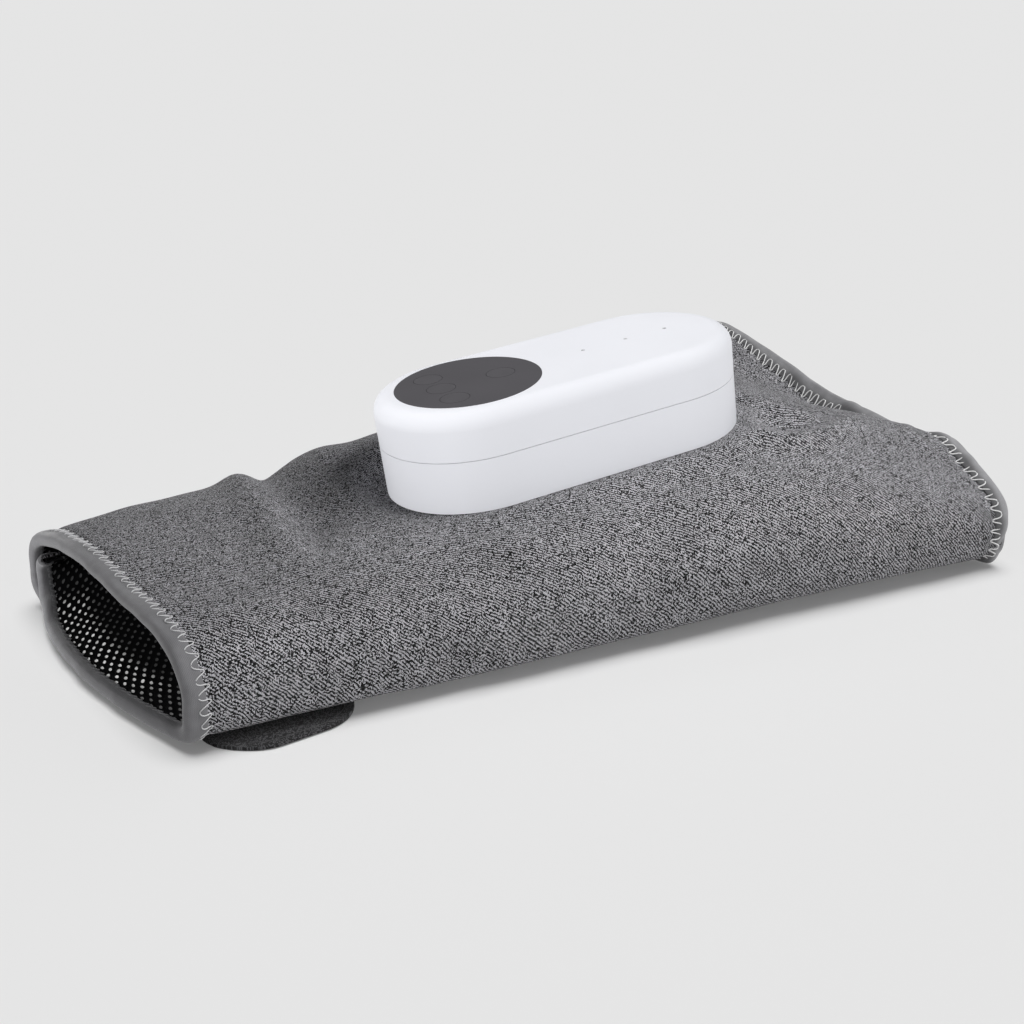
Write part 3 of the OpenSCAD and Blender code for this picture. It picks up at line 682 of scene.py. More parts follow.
def flap_stitch(name):
    pts, inward, run = flap_border()
    count = int(run[-1] / 3.5)
    a = np.linspace(1.0, run[-1] - 1.0, count * 12 + 1)
    ph = a / 3.5 * 2 * math.pi
    px = np.interp(a, run, pts[:, 0]); py = np.interp(a, run, pts[:, 1])
    ix = np.interp(a, run, inward[:, 0]); iy = np.interp(a, run, inward[:, 1])
    d = 5.4 + 1.5 * np.sin(ph)
    hi = z_at(np.stack([px, py], 1), 1)
    z = hi + 0.16 + 0.14 * ease((6.3 - d) / 0.9) - 0.15 * np.exp(-((np.abs(np.sin(ph)) - 1) / 0.03) ** 2)
    P = on_flap(px + ix * d, py + iy * d, z)
    up = np.tile([0, 0, 1.0], (len(P), 1))
    return sweep(name, cord_rings(P, up, 0.16, 5), lengths(P), np.arange(6) * 0.2)


flap_edge_tape = flap_tape("flap_edge_binding")
flap_thread = flap_stitch("flap_edge_stitching")


STRAPS = ((31.0, 129.0, 77.0), (284.0, 150.0, 110.0))      # middle, tip, where the flap's near edge is


def strap_plan(k, q, p):
    """Plan position on strap k for q across it (-1 to 1) and p from its root (0) to its tip (1)."""
    u0, tip, root = STRAPS[k]
    v0 = root - 13.0
    half = 25.0
    r = 17.0
    a, b = np.broadcast_arrays(np.asarray(q, float) * half, v0 + np.asarray(p, float) * (tip - v0))
    du, dv = half - np.abs(a), tip - b
    du2, dv2 = round_corners(du, dv, r)
    a = np.sign(a) * (half - du2)
    b = tip - dv2
    # the tip's left corner is more rounded than its right one
    if k == 0:
        b = b - 2.6 * ease((-a - 6.0) / 18.0) * ease((b - tip + 24.0) / 24.0)
    return u0 + a, b


def strap_height(k, v, u):
    """Height of the strap's lower face: over the flap's near edge, then down to the table."""
    root = STRAPS[k][2]
    down = ease((v - root - 0.5) / 9.0)
    return 1.58 * (1 - down) + 0.16 * down + 0.05 * waves(u, v, 41 + k, 17.0) * down


def strap_part(k, n=44, m=60, inset=0.0):
    q = np.linspace(-1, 1, n)[:, None]
    p = np.linspace(0, 1, m)[None, :]
    u, v = strap_plan(k, q + 0 * p, p + 0 * q)
    border = np.minimum(25.0 - np.abs(u - STRAPS[k][0]), np.minimum(STRAPS[k][1] - v, v - (STRAPS[k][2] - 13.0)))
    lo = np.maximum(strap_height(k, v, u), 0.1)
    soft = ease(border / 2.2)
    mid = lo + 0.55
    t = 0.30 + 0.26 * soft
    uv = np.stack([u, v], -1)
    return on_flap(u, v, mid + t), on_flap(u, v, mid - t), uv


def join(name, objs):
    """Join mesh objects into one."""
    bm = bmesh.new()
    for o in objs:
        bm.from_mesh(o.data)
    me = bpy.data.meshes.new(name)
    bm.to_mesh(me)
    bm.free()
    for o in objs:
        old = o.data
        bpy.data.objects.remove(o)
        bpy.data.meshes.remove(old)
    ob = bpy.data.objects.new(name, me)
    bpy.context.scene.collection.objects.link(ob)
    return ob


strap_objs = [slab("strap%d" % k, *strap_part(k)) for k in (0, 1)]
straps = join("closure_strap_pair", strap_objs)


def strap_stitches(name):
    """A seam just inside each strap's border and a box seam at its root."""
    out = []
    for k in (0, 1):
        u0, tip, root = STRAPS[k]
        paths = []
        n = 160
        q = np.concatenate([np.full(n, -1.0), np.linspace(-1, 1, n)[1:-1], np.full(n, 1.0)])
        p = np.concatenate([np.linspace(0, 1, n), np.ones(n - 2), np.linspace(1, 0, n)])
        u, v = strap_plan(k, q, p)
        c = np.array([u0, tip - 26.0])
        pts = np.stack([u, v], 1)
        L = lengths(np.c_[pts, 0 * u])
        keep = np.concatenate([[True], np.diff(L) > 1e-3])
        pts, L = pts[keep], L[keep]
        even = np.linspace(0, L[-1], int(L[-1] / 0.6))
        pts = np.stack([np.interp(even, L, pts[:, 0]), np.interp(even, L, pts[:, 1])], 1)
        t = unit(np.gradient(pts, axis=0))
        inward = np.stack([t[:, 1], -t[:, 0]], 1)
        paths.append((pts + inward * 3.0, even))
        box = np.array([[u0 - 20, root - 10], [u0 + 20, root - 10], [u0 + 20, root - 2.5], [u0 - 20, root - 2.5], [u0 - 20, root - 10]], float)
        L = lengths(np.c_[box, np.zeros(5)])
        even = np.linspace(0, L[-1], int(L[-1] / 0.6))
        paths.append((np.stack([np.interp(even, L, box[:, 0]), np.interp(even, L, box[:, 1])], 1), even))
        for j, (pts, even) in enumerate(paths):
            step = 0.5 + 0.5 * np.cos(even / 2.9 * 2 * math.pi)
            z = strap_height(k, pts[:, 1], pts[:, 0]) + 1.13 + 0.10 * step - 0.06
            P = on_flap(pts[:, 0], pts[:, 1], z)
            up = np.tile([0, 0, 1.0], (len(P), 1))
            out.append(sweep("seam%d%d" % (k, j), cord_rings(P, up, 0.15, 5), lengths(P), np.arange(6) * 0.19))
    return join(name, out)


strap_thread = strap_stitches("strap_stitching")


def hook_pad(k):
    """A pad of stiff little hooks with a plain selvedge, on the strap's upper face."""
    u0, tip, root = STRAPS[k]
    v0 = tip - 42.0
    n, m = 70, 46
    q = np.linspace(0, 1, n)[:, None]; p = np.linspace(0, 1, m)[None, :]
    du = np.minimum(q, 1 - q) * 34.0 + 0 * p
    dv = np.minimum(p, 1 - p) * 22.0 + 0 * q
    du2, dv2 = round_corners(du, dv, 3.0)
    u = np.where(q < 0.5, u0 - 17 + du2, u0 + 17 - du2)
    v = np.where(p < 0.5, v0 + dv2, v0 + 22 - dv2)
    base = strap_height(k, v, u) + 1.1
    rim = np.minimum(du2, dv2)
    tufts = 0.16 * ease((rim - 1.2) / 0.8) * (0.5 + 0.5 * np.cos(u * 2 * math.pi / 1.5)) * (0.5 + 0.5 * np.cos(v * 2 * math.pi / 1.5))
    hi = base + 0.14 + 0.14 * ease(rim / 0.8) + tufts
    return slab("pad%d" % k, on_flap(u, v, hi), on_flap(u, v, base - 0.03), np.stack([u, v], -1))


pads = join("hook_pad_pair", [hook_pad(0), hook_pad(1)])


def make_loop_panel(name):
    """Brushed loop fabric sewn flat under the sleeve's near side."""
    S = along_steps(14.0, 306.0, 2.0)
    n = 34
    rows_f = np.empty((len(S), n))
    for i, s in enumerate(S):
        mid, across, a = half_width(np.array([s / LEN]))
        k = (s - 14.0) / 292.0
        va, vb = 78.0 + 34.0 * k, 112.0 + 28.0 * k
        want = np.linspace(va, vb, n)
        c = (-want - float((mid[0] - HINGE) @ HNOR)) / float(across[0] @ HNOR)
        cx = np.clip(-c / a[0], -0.999, 0.999)
        rows_f[i] = -np.degrees(np.arccos(spow(cx, 4.0)))
    rows_f = np.minimum(rows_f, -0.5)
    SS = S[:, None] + 0 * rows_f
    wv = np.arange(n)[None, :] * 1.0 + 0 * SS
    rim = np.minimum(np.minimum(SS - 14, 306 - SS), np.minimum(wv, n - 1 - wv))
    t = 0.22 + 0.26 * ease(rim / 2.5)
    fz = 0.04 * waves(SS, wv, 51, 6.0)
    A = wrap(SS, rows_f, -(0.04 + t + fz) / 1.0)
    B = wrap(SS, rows_f, np.full_like(SS, -0.02))
    uv = np.stack([SS, wv], -1)
    return slab(name, A, B, uv)


loops = make_loop_panel("loop_panel_cloth")


# ======================================================================
# materials: every one is made of nodes
class Mat:
    def __init__(self, name):
        self.m = bpy.data.materials.new(name)
        self.m.use_nodes = True
        self.t = self.m.node_tree
        self.t.nodes.clear()
        self.out = self.node("ShaderNodeOutputMaterial")
        self.b = self.node("ShaderNodeBsdfPrincipled")
        self.t.links.new(self.b.outputs["BSDF"], self.out.inputs["Surface"])
        self._tc = None

    def node(self, kind, **kw):
        n = self.t.nodes.new(kind)
        for k, v in kw.items():
            setattr(n, k, v)
        return n

    def put(self, socket, v):
        if isinstance(v, bpy.types.NodeSocket):
            self.t.links.new(v, socket)
        else:
            socket.default_value = v

    def coords(self, which="Object"):
        if self._tc is None:
            self._tc = self.node("ShaderNodeTexCoord")
        return self._tc.outputs[which]

    def math(self, op, a, b=None, c=None, clamp=False):
        n = self.node("ShaderNodeMath", operation=op, use_clamp=clamp)
        self.put(n.inputs[0], a)
        if b is not None:
            self.put(n.inputs[1], b)
        if c is not None:
            self.put(n.inputs[2], c)
        return n.outputs[0]

    def split(self, v):
        n = self.node("ShaderNodeSeparateXYZ")
        self.put(n.inputs[0], v)
        return n.outputs[0], n.outputs[1], n.outputs[2]

    def vec(self, x=0.0, y=0.0, z=0.0):
        n = self.node("ShaderNodeCombineXYZ")
        for i, v in enumerate((x, y, z)):
            self.put(n.inputs[i], v)
        return n.outputs[0]

    def noise(self, v, scale, detail=2.0, rough=0.5, dims="3D", distort=0.0):
        n = self.node("ShaderNodeTexNoise", noise_dimensions=dims)
        self.put(n.inputs["Vector"], v)
        n.inputs["Scale"].default_value = scale
        n.inputs["Detail"].default_value = detail
        n.inputs["Roughness"].default_value = rough
        n.inputs["Distortion"].default_value = distort
        return n.outputs["Fac"]

    def dice(self, v):
        n = self.node("ShaderNodeTexWhiteNoise", noise_dimensions="2D")
        self.put(n.inputs["Vector"], v)
        return n.outputs["Value"]

    def ramp(self, fac, stops, mode="LINEAR"):
        n = self.node("ShaderNodeValToRGB")
        n.color_ramp.interpolation = mode
        el = n.color_ramp.elements
        while len(el) < len(stops):
            el.new(0.5)
        for e, (p, c) in zip(el, stops):
            e.position = p
            e.color = (c[0], c[1], c[2], 1) if hasattr(c, "__len__") else (c, c, c, 1)
        self.put(n.inputs[0], fac)
        return n.outputs[0]

    def mix(self, fac, a, b, blend="MIX"):
        n = self.node("ShaderNodeMix", data_type="RGBA", blend_type=blend)
        self.put(n.inputs[0], fac)
        for i, v in ((6, a), (7, b)):
            if isinstance(v, bpy.types.NodeSocket):
                self.put(n.inputs[i], v)
            else:
                n.inputs[i].default_value = (v[0], v[1], v[2], 1)
        return n.outputs[2]

    def fit(self, v, a, b, c, d, smooth=False):
        n = self.node("ShaderNodeMapRange", interpolation_type="SMOOTHSTEP" if smooth else "LINEAR")
        self.put(n.inputs[0], v)
        for i, x in enumerate((a, b, c, d)):
            n.inputs[i + 1].default_value = x
        return n.outputs[0]

    def bump(self, height, strength, distance, normal=None):
        n = self.node("ShaderNodeBump")
        n.inputs["Strength"].default_value = strength
        n.inputs["Distance"].default_value = distance
        self.put(n.inputs["Height"], height)
        if normal is not None:
            self.put(n.inputs["Normal"], normal)
        return n.outputs[0]

    def set(self, **kw):
        names = dict(color="Base Color", rough="Roughness", metal="Metallic", ior="IOR", normal="Normal", spec="Specular IOR Level",
                     sheen="Sheen Weight", sheen_rough="Sheen Roughness", coat="Coat Weight", coat_rough="Coat Roughness",
                     trans="Transmission Weight", sub="Subsurface Weight", sub_scale="Subsurface Scale")
        for k, v in kw.items():
            if k == "color" and not isinstance(v, bpy.types.NodeSocket):
                v = (v[0], v[1], v[2], 1)
            self.put(self.b.inputs[names[k]], v)
        return self.m


def scaled(c, k):
    return tuple(x * k for x in c)


def plastic(name, color, rough=0.4, grain=0.35, amount=0.05, spot=90.0, bumpy=0.05, spec=0.5, coat=0.0):
    m = Mat(name)
    o = m.coords()
    fine = m.noise(o, 1000.0 / grain, 2.0, 0.6)
    wide = m.noise(o, spot, 3.0, 0.55)
    col = m.mix(m.fit(wide, 0.3, 0.7, 0, 1), scaled(color, 1 - amount), scaled(color, 1 + amount))
    r = m.math("ADD", m.fit(wide, 0.3, 0.7, rough - 0.03, rough + 0.03), m.fit(fine, 0.3, 0.7, -0.02, 0.02))
    return m.set(color=col, rough=r, normal=m.bump(fine, bumpy, 0.0001), spec=spec, coat=coat)


def metal(name, color, rough=0.3, stretch=(1, 1, 6)):
    m = Mat(name)
    o = m.coords()
    mp = m.node("ShaderNodeMapping")
    m.put(mp.inputs["Vector"], o)
    mp.inputs["Scale"].default_value = stretch
    fine = m.noise(mp.outputs[0], 1500.0, 2.0, 0.6)
    wide = m.noise(o, 130.0, 2.0, 0.5)
    col = m.mix(m.fit(wide, 0.3, 0.7, 0, 1), scaled(color, 0.86), scaled(color, 1.08))
    r = m.math("ADD", m.fit(fine, 0.3, 0.7, rough - 0.07, rough + 0.07), m.fit(wide, 0.3, 0.7, -0.05, 0.05))
    return m.set(color=col, rough=r, metal=1.0, normal=m.bump(fine, 0.06, 0.00005))


def rubber(name, color, rough=0.75):
    m = Mat(name)
    o = m.coords()
    fine = m.noise(o, 2600.0, 3.0, 0.65)
    wide = m.noise(o, 160.0, 2.0, 0.5)
    col = m.mix(m.fit(wide, 0.3, 0.7, 0, 1), scaled(color, 0.8), scaled(color, 1.25))
    return m.set(color=col, rough=m.fit(wide, 0.3, 0.7, rough - 0.08, rough + 0.06), spec=0.3, normal=m.bump(fine, 0.12, 0.0001))


def board(name):
    """Green solder mask with copper tracks under it and pale pads."""
    m = Mat(name)
    o = m.coords()
    x, y, z = m.split(o)
    px, py = m.math("MULTIPLY", x, 520.0), m.math("MULTIPLY", y, 520.0)
    cell = m.dice(m.vec(m.math("FLOOR", m.math("MULTIPLY", px, 0.31)), m.math("FLOOR", py)))
    run = m.math("ABSOLUTE", m.math("SUBTRACT", m.math("FRACT", py), 0.5))
    track = m.math("MULTIPLY", m.math("LESS_THAN", run, 0.2), m.math("GREATER_THAN", cell, 0.45))
    vor = m.node("ShaderNodeTexVoronoi")
    m.put(vor.inputs["Vector"], o)
    vor.inputs["Scale"].default_value = 260.0
    via = m.math("LESS_THAN", vor.outputs["Distance"], 0.17)
    c1 = m.mix(track, (0.012, 0.075, 0.032), (0.03, 0.14, 0.055))
    c2 = m.mix(via, c1, (0.62, 0.55, 0.36))
    speck = m.noise(o, 900.0, 2.0)
    c3 = m.mix(m.fit(speck, 0.35, 0.65, 0, 0.25), c2, (0.02, 0.10, 0.045))
    h = m.math("ADD", m.math("MULTIPLY", track, 0.6), m.math("MULTIPLY", via, 1.0))
    return m.set(color=c3, rough=m.fit(speck, 0.3, 0.7, 0.22, 0.34), normal=m.bump(h, 0.25, 0.00008))


def milky(name, color, trans=0.35, rough=0.25):
    m = Mat(name)
    o = m.coords()
    n = m.noise(o, 420.0, 2.0)
    f = m.noise(o, 3000.0, 2.0)
    col = m.mix(m.fit(n, 0.3, 0.7, 0, 1), scaled(color, 0.95), scaled(color, 1.03))
    return m.set(color=col, rough=m.fit(n, 0.3, 0.7, rough - 0.05, rough + 0.05), trans=trans, ior=1.45, normal=m.bump(f, 0.03, 0.00005))


def wrap_film(name, color):
    """Shrink film with fine wrinkles and a paler band."""
    m = Mat(name)
    o = m.coords()
    mp = m.node("ShaderNodeMapping")
    m.put(mp.inputs["Vector"], o)
    mp.inputs["Scale"].default_value = (1, 4, 4)
    wr = m.noise(mp.outputs[0], 190.0, 3.0, 0.6)
    col = m.mix(m.fit(wr, 0.35, 0.7, 0, 1), scaled(color, 0.85), scaled(color, 1.2))
    return m.set(color=col, rough=m.fit(wr, 0.3, 0.7, 0.2, 0.34), coat=0.4, normal=m.bump(wr, 0.12, 0.0004))


def weave(name, pitch, dark, light, tint, twill=True, lean=0.25, runs=(5.0, 2.2), slubs=0.90, slub_run=10.0, skips=0.03, depth=0.00006):
    """Cloth of two thread sets with unevenly dyed threads. u runs along the leg, v round it."""
    m = Mat(name)
    src = m.coords("UV")
    u, v, _ = m.split(src)
    mm = m.node("ShaderNodeVectorMath", operation="SCALE")
    m.put(mm.inputs[0], src)
    mm.inputs["Scale"].default_value = 1000.0
    P = mm.outputs[0]
    um, vm = m.math("MULTIPLY", u, 1000.0), m.math("MULTIPLY", v, 1000.0)
    w1 = m.noise(P, 1 / 6.0, 1.0, 0.5, "2D")
    w2 = m.noise(m.vec(m.math("ADD", um, 400.0), vm), 1 / 6.0, 1.0, 0.5, "2D")
    x = m.math("MULTIPLY_ADD", um, 1 / pitch[0], m.fit(w1, 0.25, 0.75, -1.1, 1.1))
    y = m.math("MULTIPLY_ADD", vm, 1 / pitch[1], m.fit(w2, 0.25, 0.75, -1.1, 1.1))
    ix, iy = m.math("FLOOR", x), m.math("FLOOR", y)
    fx, fy = m.math("FRACT", x), m.math("FRACT", y)
    both = m.math("ADD", m.math("ADD", ix, iy), 40000.0)
    over = m.math("LESS_THAN", m.math("MODULO", both, 4.0 if twill else 2.0), 1.5 if twill else 0.5)
    # now and then one thread lies on top for a while and is dark
    sl = m.noise(m.vec(m.math("MULTIPLY", ix, 31.7), m.math("MULTIPLY", vm, 1 / slub_run)), 1.0, 1.0, 0.5, "2D")
    slub = m.math("GREATER_THAN", sl, slubs)
    # a few crossings are swapped, so the diagonals never run far
    skip = m.math("LESS_THAN", m.dice(m.vec(m.math("MULTIPLY_ADD", iy, 3.0, 11.0), m.math("MULTIPLY_ADD", ix, 5.0, 7.0))), skips)
    over = m.math("ABSOLUTE", m.math("SUBTRACT", over, skip))
    over = m.math("MAXIMUM", over, slub)
    under = m.math("SUBTRACT", 1.0, over)
    # tone of the thread that lies on top: uneven along its own length
    na = m.noise(m.vec(m.math("MULTIPLY", ix, 17.31), m.math("MULTIPLY", vm, 1 / runs[0])), 1.0, 1.0, 0.5, "2D")
    nb = m.noise(m.vec(m.math("MULTIPLY", iy, 23.17), m.math("MULTIPLY_ADD", um, 1 / runs[1], 77.0)), 1.0, 1.0, 0.5, "2D")
    bit = m.dice(m.vec(ix, iy))
    ta = m.fit(na, 0.25, 0.75, 0.25 - lean, 0.75 - lean)
    tb = m.fit(nb, 0.25, 0.75, 0.25 + lean, 0.75 + lean)
    tone = m.math("ADD", m.math("MULTIPLY", over, ta), m.math("MULTIPLY", under, tb))
    tone = m.math("ADD", tone, m.fit(bit, 0, 1, -0.5, 0.5))
    tone = m.math("MULTIPLY", tone, m.math("SUBTRACT", 1.0, slub))
    dy = m.fit(tone, 0.3, 0.8, 0.0, 1.0, True)
    dy = m.math("POWER", dy, 1.5)
    ha = m.math("SUBTRACT", 1.0, m.math("POWER", m.math("ABSOLUTE", m.math("MULTIPLY_ADD", fx, 2.0, -1.0)), 2.0))
    hb = m.math("SUBTRACT", 1.0, m.math("POWER", m.math("ABSOLUTE", m.math("MULTIPLY_ADD", fy, 2.0, -1.0)), 2.0))
    h = m.math("ADD", m.math("MULTIPLY", over, ha), m.math("MULTIPLY", under, hb))
    low = m.math("ADD", m.math("MULTIPLY", over, hb), m.math("MULTIPLY", under, ha))
    # painted shade: shape darkens the colour towards each thread's edges and into the gaps between threads, as shade
    # would fall on round threads; the same heights also feed the bump
    shape = m.math("MULTIPLY", m.fit(h, 0, 1, 0.2, 1.0), m.fit(low, 0, 1, 0.6, 1.0))
    base = m.mix(dy, scaled(tint, dark), scaled(tint, light))
    grey = m.mix(shape, (0.0, 0.0, 0.0), (1.0, 1.0, 1.0))
    col = m.mix(1.0, base, grey, "MULTIPLY")
    wide = m.noise(P, 1 / 30.0, 2.0, 0.5, "2D")
    col = m.mix(1.0, col, m.mix(m.fit(wide, 0.3, 0.7, 0, 1), (0.94, 0.94, 0.94), (1.06, 1.06, 1.06)), "MULTIPLY")
    hair = m.noise(P, 5.5, 1.0, 0.6, "2D")
    height = m.math("ADD", shape, m.fit(hair, 0.3, 0.7, -0.15, 0.15))
    return m.set(color=col, rough=m.fit(hair, 0.3, 0.7, 0.84, 0.96), spec=0.2, sheen=0.08, sheen_rough=0.5,
                 normal=m.bump(height, 0.6, depth))


def tape_cloth(name, color, pitch=0.62, border=0.85):
    """Smooth finely ribbed binding, with painted shade darkening it along its stitched border, where the stitches pull
    it down.
    """
    m = Mat(name)
    src = m.coords("UV")
    u, v, _ = m.split(src)
    mm = m.node("ShaderNodeVectorMath", operation="SCALE")
    m.put(mm.inputs[0], src)
    mm.inputs["Scale"].default_value = 1000.0
    P = mm.outputs[0]
    a = m.math("SINE", m.math("MULTIPLY", m.math("ADD", u, m.math("MULTIPLY", v, 0.8)), 1000.0 * 2 * math.pi / pitch))
    b = m.math("SINE", m.math("MULTIPLY", v, 1000.0 * 2 * math.pi / (pitch * 0.8)))
    rib = m.math("MULTIPLY_ADD", a, 0.6, m.math("MULTIPLY", b, 0.4))
    n1 = m.noise(P, 1 / 5.0, 3.0, 0.6, "2D")
    n2 = m.noise(P, 4.0, 2.0, 0.6, "2D")
    k = m.math("ADD", m.fit(n1, 0.3, 0.7, 0.0, 0.6), m.fit(n2, 0.25, 0.75, 0.0, 0.4))
    c = m.mix(k, scaled(color, 0.84), scaled(color, 1.17))
    c = m.mix(m.fit(rib, -1, 1, 0.42, 0.0), c, scaled(color, 0.45))
    # painted shade: towards the stitched border (small v) the colour is darkened down to the border factor
    edge = m.fit(v, 0.0020, 0.0046, border, 1.0, True)
    c = m.mix(1.0, c, m.mix(edge, (0.0, 0.0, 0.0), (1.0, 1.0, 1.0)), "MULTIPLY")
    return m.set(color=c, rough=m.fit(n2, 0.3, 0.7, 0.7, 0.86), spec=0.3, sheen=0.25, sheen_rough=0.45,
                 normal=m.bump(m.math("ADD", rib, m.fit(n2, 0.3, 0.7, -0.8, 0.8)), 0.35, 0.00006))


def mesh_cloth(name):
    """Black knitted mesh; its pale backing shows through small round holes in staggered rows."""
    m = Mat(name)
    u, v, _ = m.split(m.coords("UV"))
    mm = m.node("ShaderNodeVectorMath", operation="SCALE")
    m.put(mm.inputs[0], m.coords("UV"))
    mm.inputs["Scale"].default_value = 1000.0
    P = mm.outputs[0]
    wob = m.noise(P, 1 / 6.0, 2.0, 0.5, "2D")
    x = m.math("MULTIPLY_ADD", u, 1000.0, m.fit(wob, 0.3, 0.7, -0.25, 0.25))
    y = m.math("MULTIPLY_ADD", v, 1000.0, m.fit(wob, 0.3, 0.7, 0.2, -0.2))
    # cells with the sides (1.4, 2.47) and (-1.9, 4.0) mm, one long hole in each
    ci = m.math("MULTIPLY_ADD", x, 0.3887, m.math("MULTIPLY", y, 0.1846))
    cj = m.math("MULTIPLY_ADD", x, -0.2400, m.math("MULTIPLY", y, 0.1361))
    fi = m.math("SUBTRACT", m.math("FRACT", ci), 0.5)
    fj = m.math("SUBTRACT", m.math("FRACT", cj), 0.5)
    du = m.math("MULTIPLY_ADD", fi, 1.4, m.math("MULTIPLY", fj, -1.9))
    dv = m.math("MULTIPLY_ADD", fi, 2.47, m.math("MULTIPLY", fj, 4.0))
    e1 = m.math("MULTIPLY_ADD", du, 0.94 / 0.42, m.math("MULTIPLY", dv, 0.34 / 0.42))
    e2 = m.math("MULTIPLY_ADD", du, -0.34 / 1.15, m.math("MULTIPLY", dv, 0.94 / 1.15))
    best = m.math("MULTIPLY", m.math("SQRT", m.math("ADD", m.math("MULTIPLY", e1, e1), m.math("MULTIPLY", e2, e2))), 0.5)
    each = m.dice(m.vec(m.math("FLOOR", ci), m.math("FLOOR", cj)))
    hole = m.fit(best, 0.60, 0.42, 0.0, 1.0, True)
    rim = m.fit(best, 1.2, 0.6, 0.0, 1.0, True)
    # fine knit courses
    kn = m.math("MULTIPLY", m.math("SINE", m.math("MULTIPLY", x, 2 * math.pi / 0.55)), m.math("SINE", m.math("MULTIPLY", y, 2 * math.pi / 0.7)))
    fl = m.noise(P, 3.5, 2.0, 0.6, "2D")
    blk = m.mix(m.fit(m.math("ADD", m.math("MULTIPLY", kn, 0.5), fl), 0.1, 1.0, 0, 1), (0.0005, 0.0005, 0.0006), (0.004, 0.004, 0.0045))
    wh = m.mix(m.fit(each, 0, 1, 0, 1), (0.62, 0.62, 0.61), (0.95, 0.95, 0.94))
    # painted light and shade: the pale backing stays bright only on the floor just inside the open ankle end, where
    # light falls in; further along, higher up and towards the sides it is painted dark as shade
    _, oy, oz = m.split(m.coords("Object"))
    painted_shade_mask = m.math("MAXIMUM", m.fit(u, 0.0105, 0.0165, 0.0, 0.95, True), m.fit(oz, 0.0074, 0.0100, 0.0, 0.95, True))
    painted_shade_mask = m.math("MAXIMUM", painted_shade_mask, m.math("MAXIMUM", m.fit(oy, -0.034, -0.050, 0.0, 0.82, True), m.fit(oy, 0.020, 0.042, 0.0, 0.75, True)))
    wh = m.mix(painted_shade_mask, wh, (0.012, 0.012, 0.013))
    c = m.mix(hole, blk, wh)
    h = m.math("ADD", m.math("MULTIPLY", rim, 0.8), m.math("MULTIPLY_ADD", kn, 0.18, m.math("MULTIPLY", hole, -1.4)))
    return m.set(color=c, rough=0.85, spec=0.04, normal=m.bump(h, 0.6, 0.00025))


def yarn(name, color):
    m = Mat(name)
    u, v, _ = m.split(m.coords("UV"))
    tw = m.math("SINE", m.math("MULTIPLY_ADD", u, 1000.0 * 2 * math.pi / 0.55, m.math("MULTIPLY", v, 1000.0 * 4.0)))
    n = m.noise(m.coords("UV"), 900.0, 2.0, 0.6, "2D")
    c = m.mix(m.fit(tw, -1, 1, 0, 1), scaled(color, 0.62), color)
    c = m.mix(m.fit(n, 0.3, 0.7, 0, 0.3), c, scaled(color, 0.75))
    return m.set(color=c, rough=0.6, spec=0.3, sheen=0.2, sheen_rough=0.4, normal=m.bump(tw, 0.4, 0.00005))


def film(name, color):
    """Airtight coated cloth: a fine woven face under a thin satin coat."""
    m = Mat(name)
    src = m.coords("UV")
    u, v, _ = m.split(src)
    g = m.math("ADD", m.math("SINE", m.math("MULTIPLY", u, 1000.0 * 2 * math.pi / 0.5)), m.math("SINE", m.math("MULTIPLY", v, 1000.0 * 2 * math.pi / 0.5)))
    n = m.noise(src, 60.0, 3.0, 0.6, "2D")
    c = m.mix(m.fit(n, 0.3, 0.7, 0, 1), scaled(color, 0.8), scaled(color, 1.2))
    return m.set(color=c, rough=m.fit(n, 0.3, 0.7, 0.38, 0.55), spec=0.4, normal=m.bump(m.math("ADD", g, m.math("MULTIPLY", n, 5.0)), 0.12, 0.0001))


def pile(name, color, pitch, depth, stiff=False):
    m = Mat(name)
    src = m.coords("UV")
    vor = m.node("ShaderNodeTexVoronoi", voronoi_dimensions="2D")
    m.put(vor.inputs["Vector"], src)
    vor.inputs["Scale"].default_value = 1000.0 / pitch
    vor.inputs["Randomness"].default_value = 0.25 if stiff else 1.0
    n = m.noise(src, 1000.0 / pitch * 1.7, 3.0, 0.65, "2D", 1.5)
    d = vor.outputs["Distance"]
    k = m.math("ADD", m.fit(d, 0.0, 0.7, 0.7, 0.0), m.fit(n, 0.3, 0.7, 0.0, 0.3))
    c = m.mix(k, scaled(color, 0.55), scaled(color, 1.5))
    return m.set(color=c, rough=0.7 if stiff else 0.92, spec=0.3 if stiff else 0.15, sheen=0.05 if stiff else 0.3, sheen_rough=0.5,
                 normal=m.bump(m.math("ADD", m.fit(d, 0.0, 0.6, 1.0, 0.0), m.math("MULTIPLY", n, 0.6)), 0.7, depth))


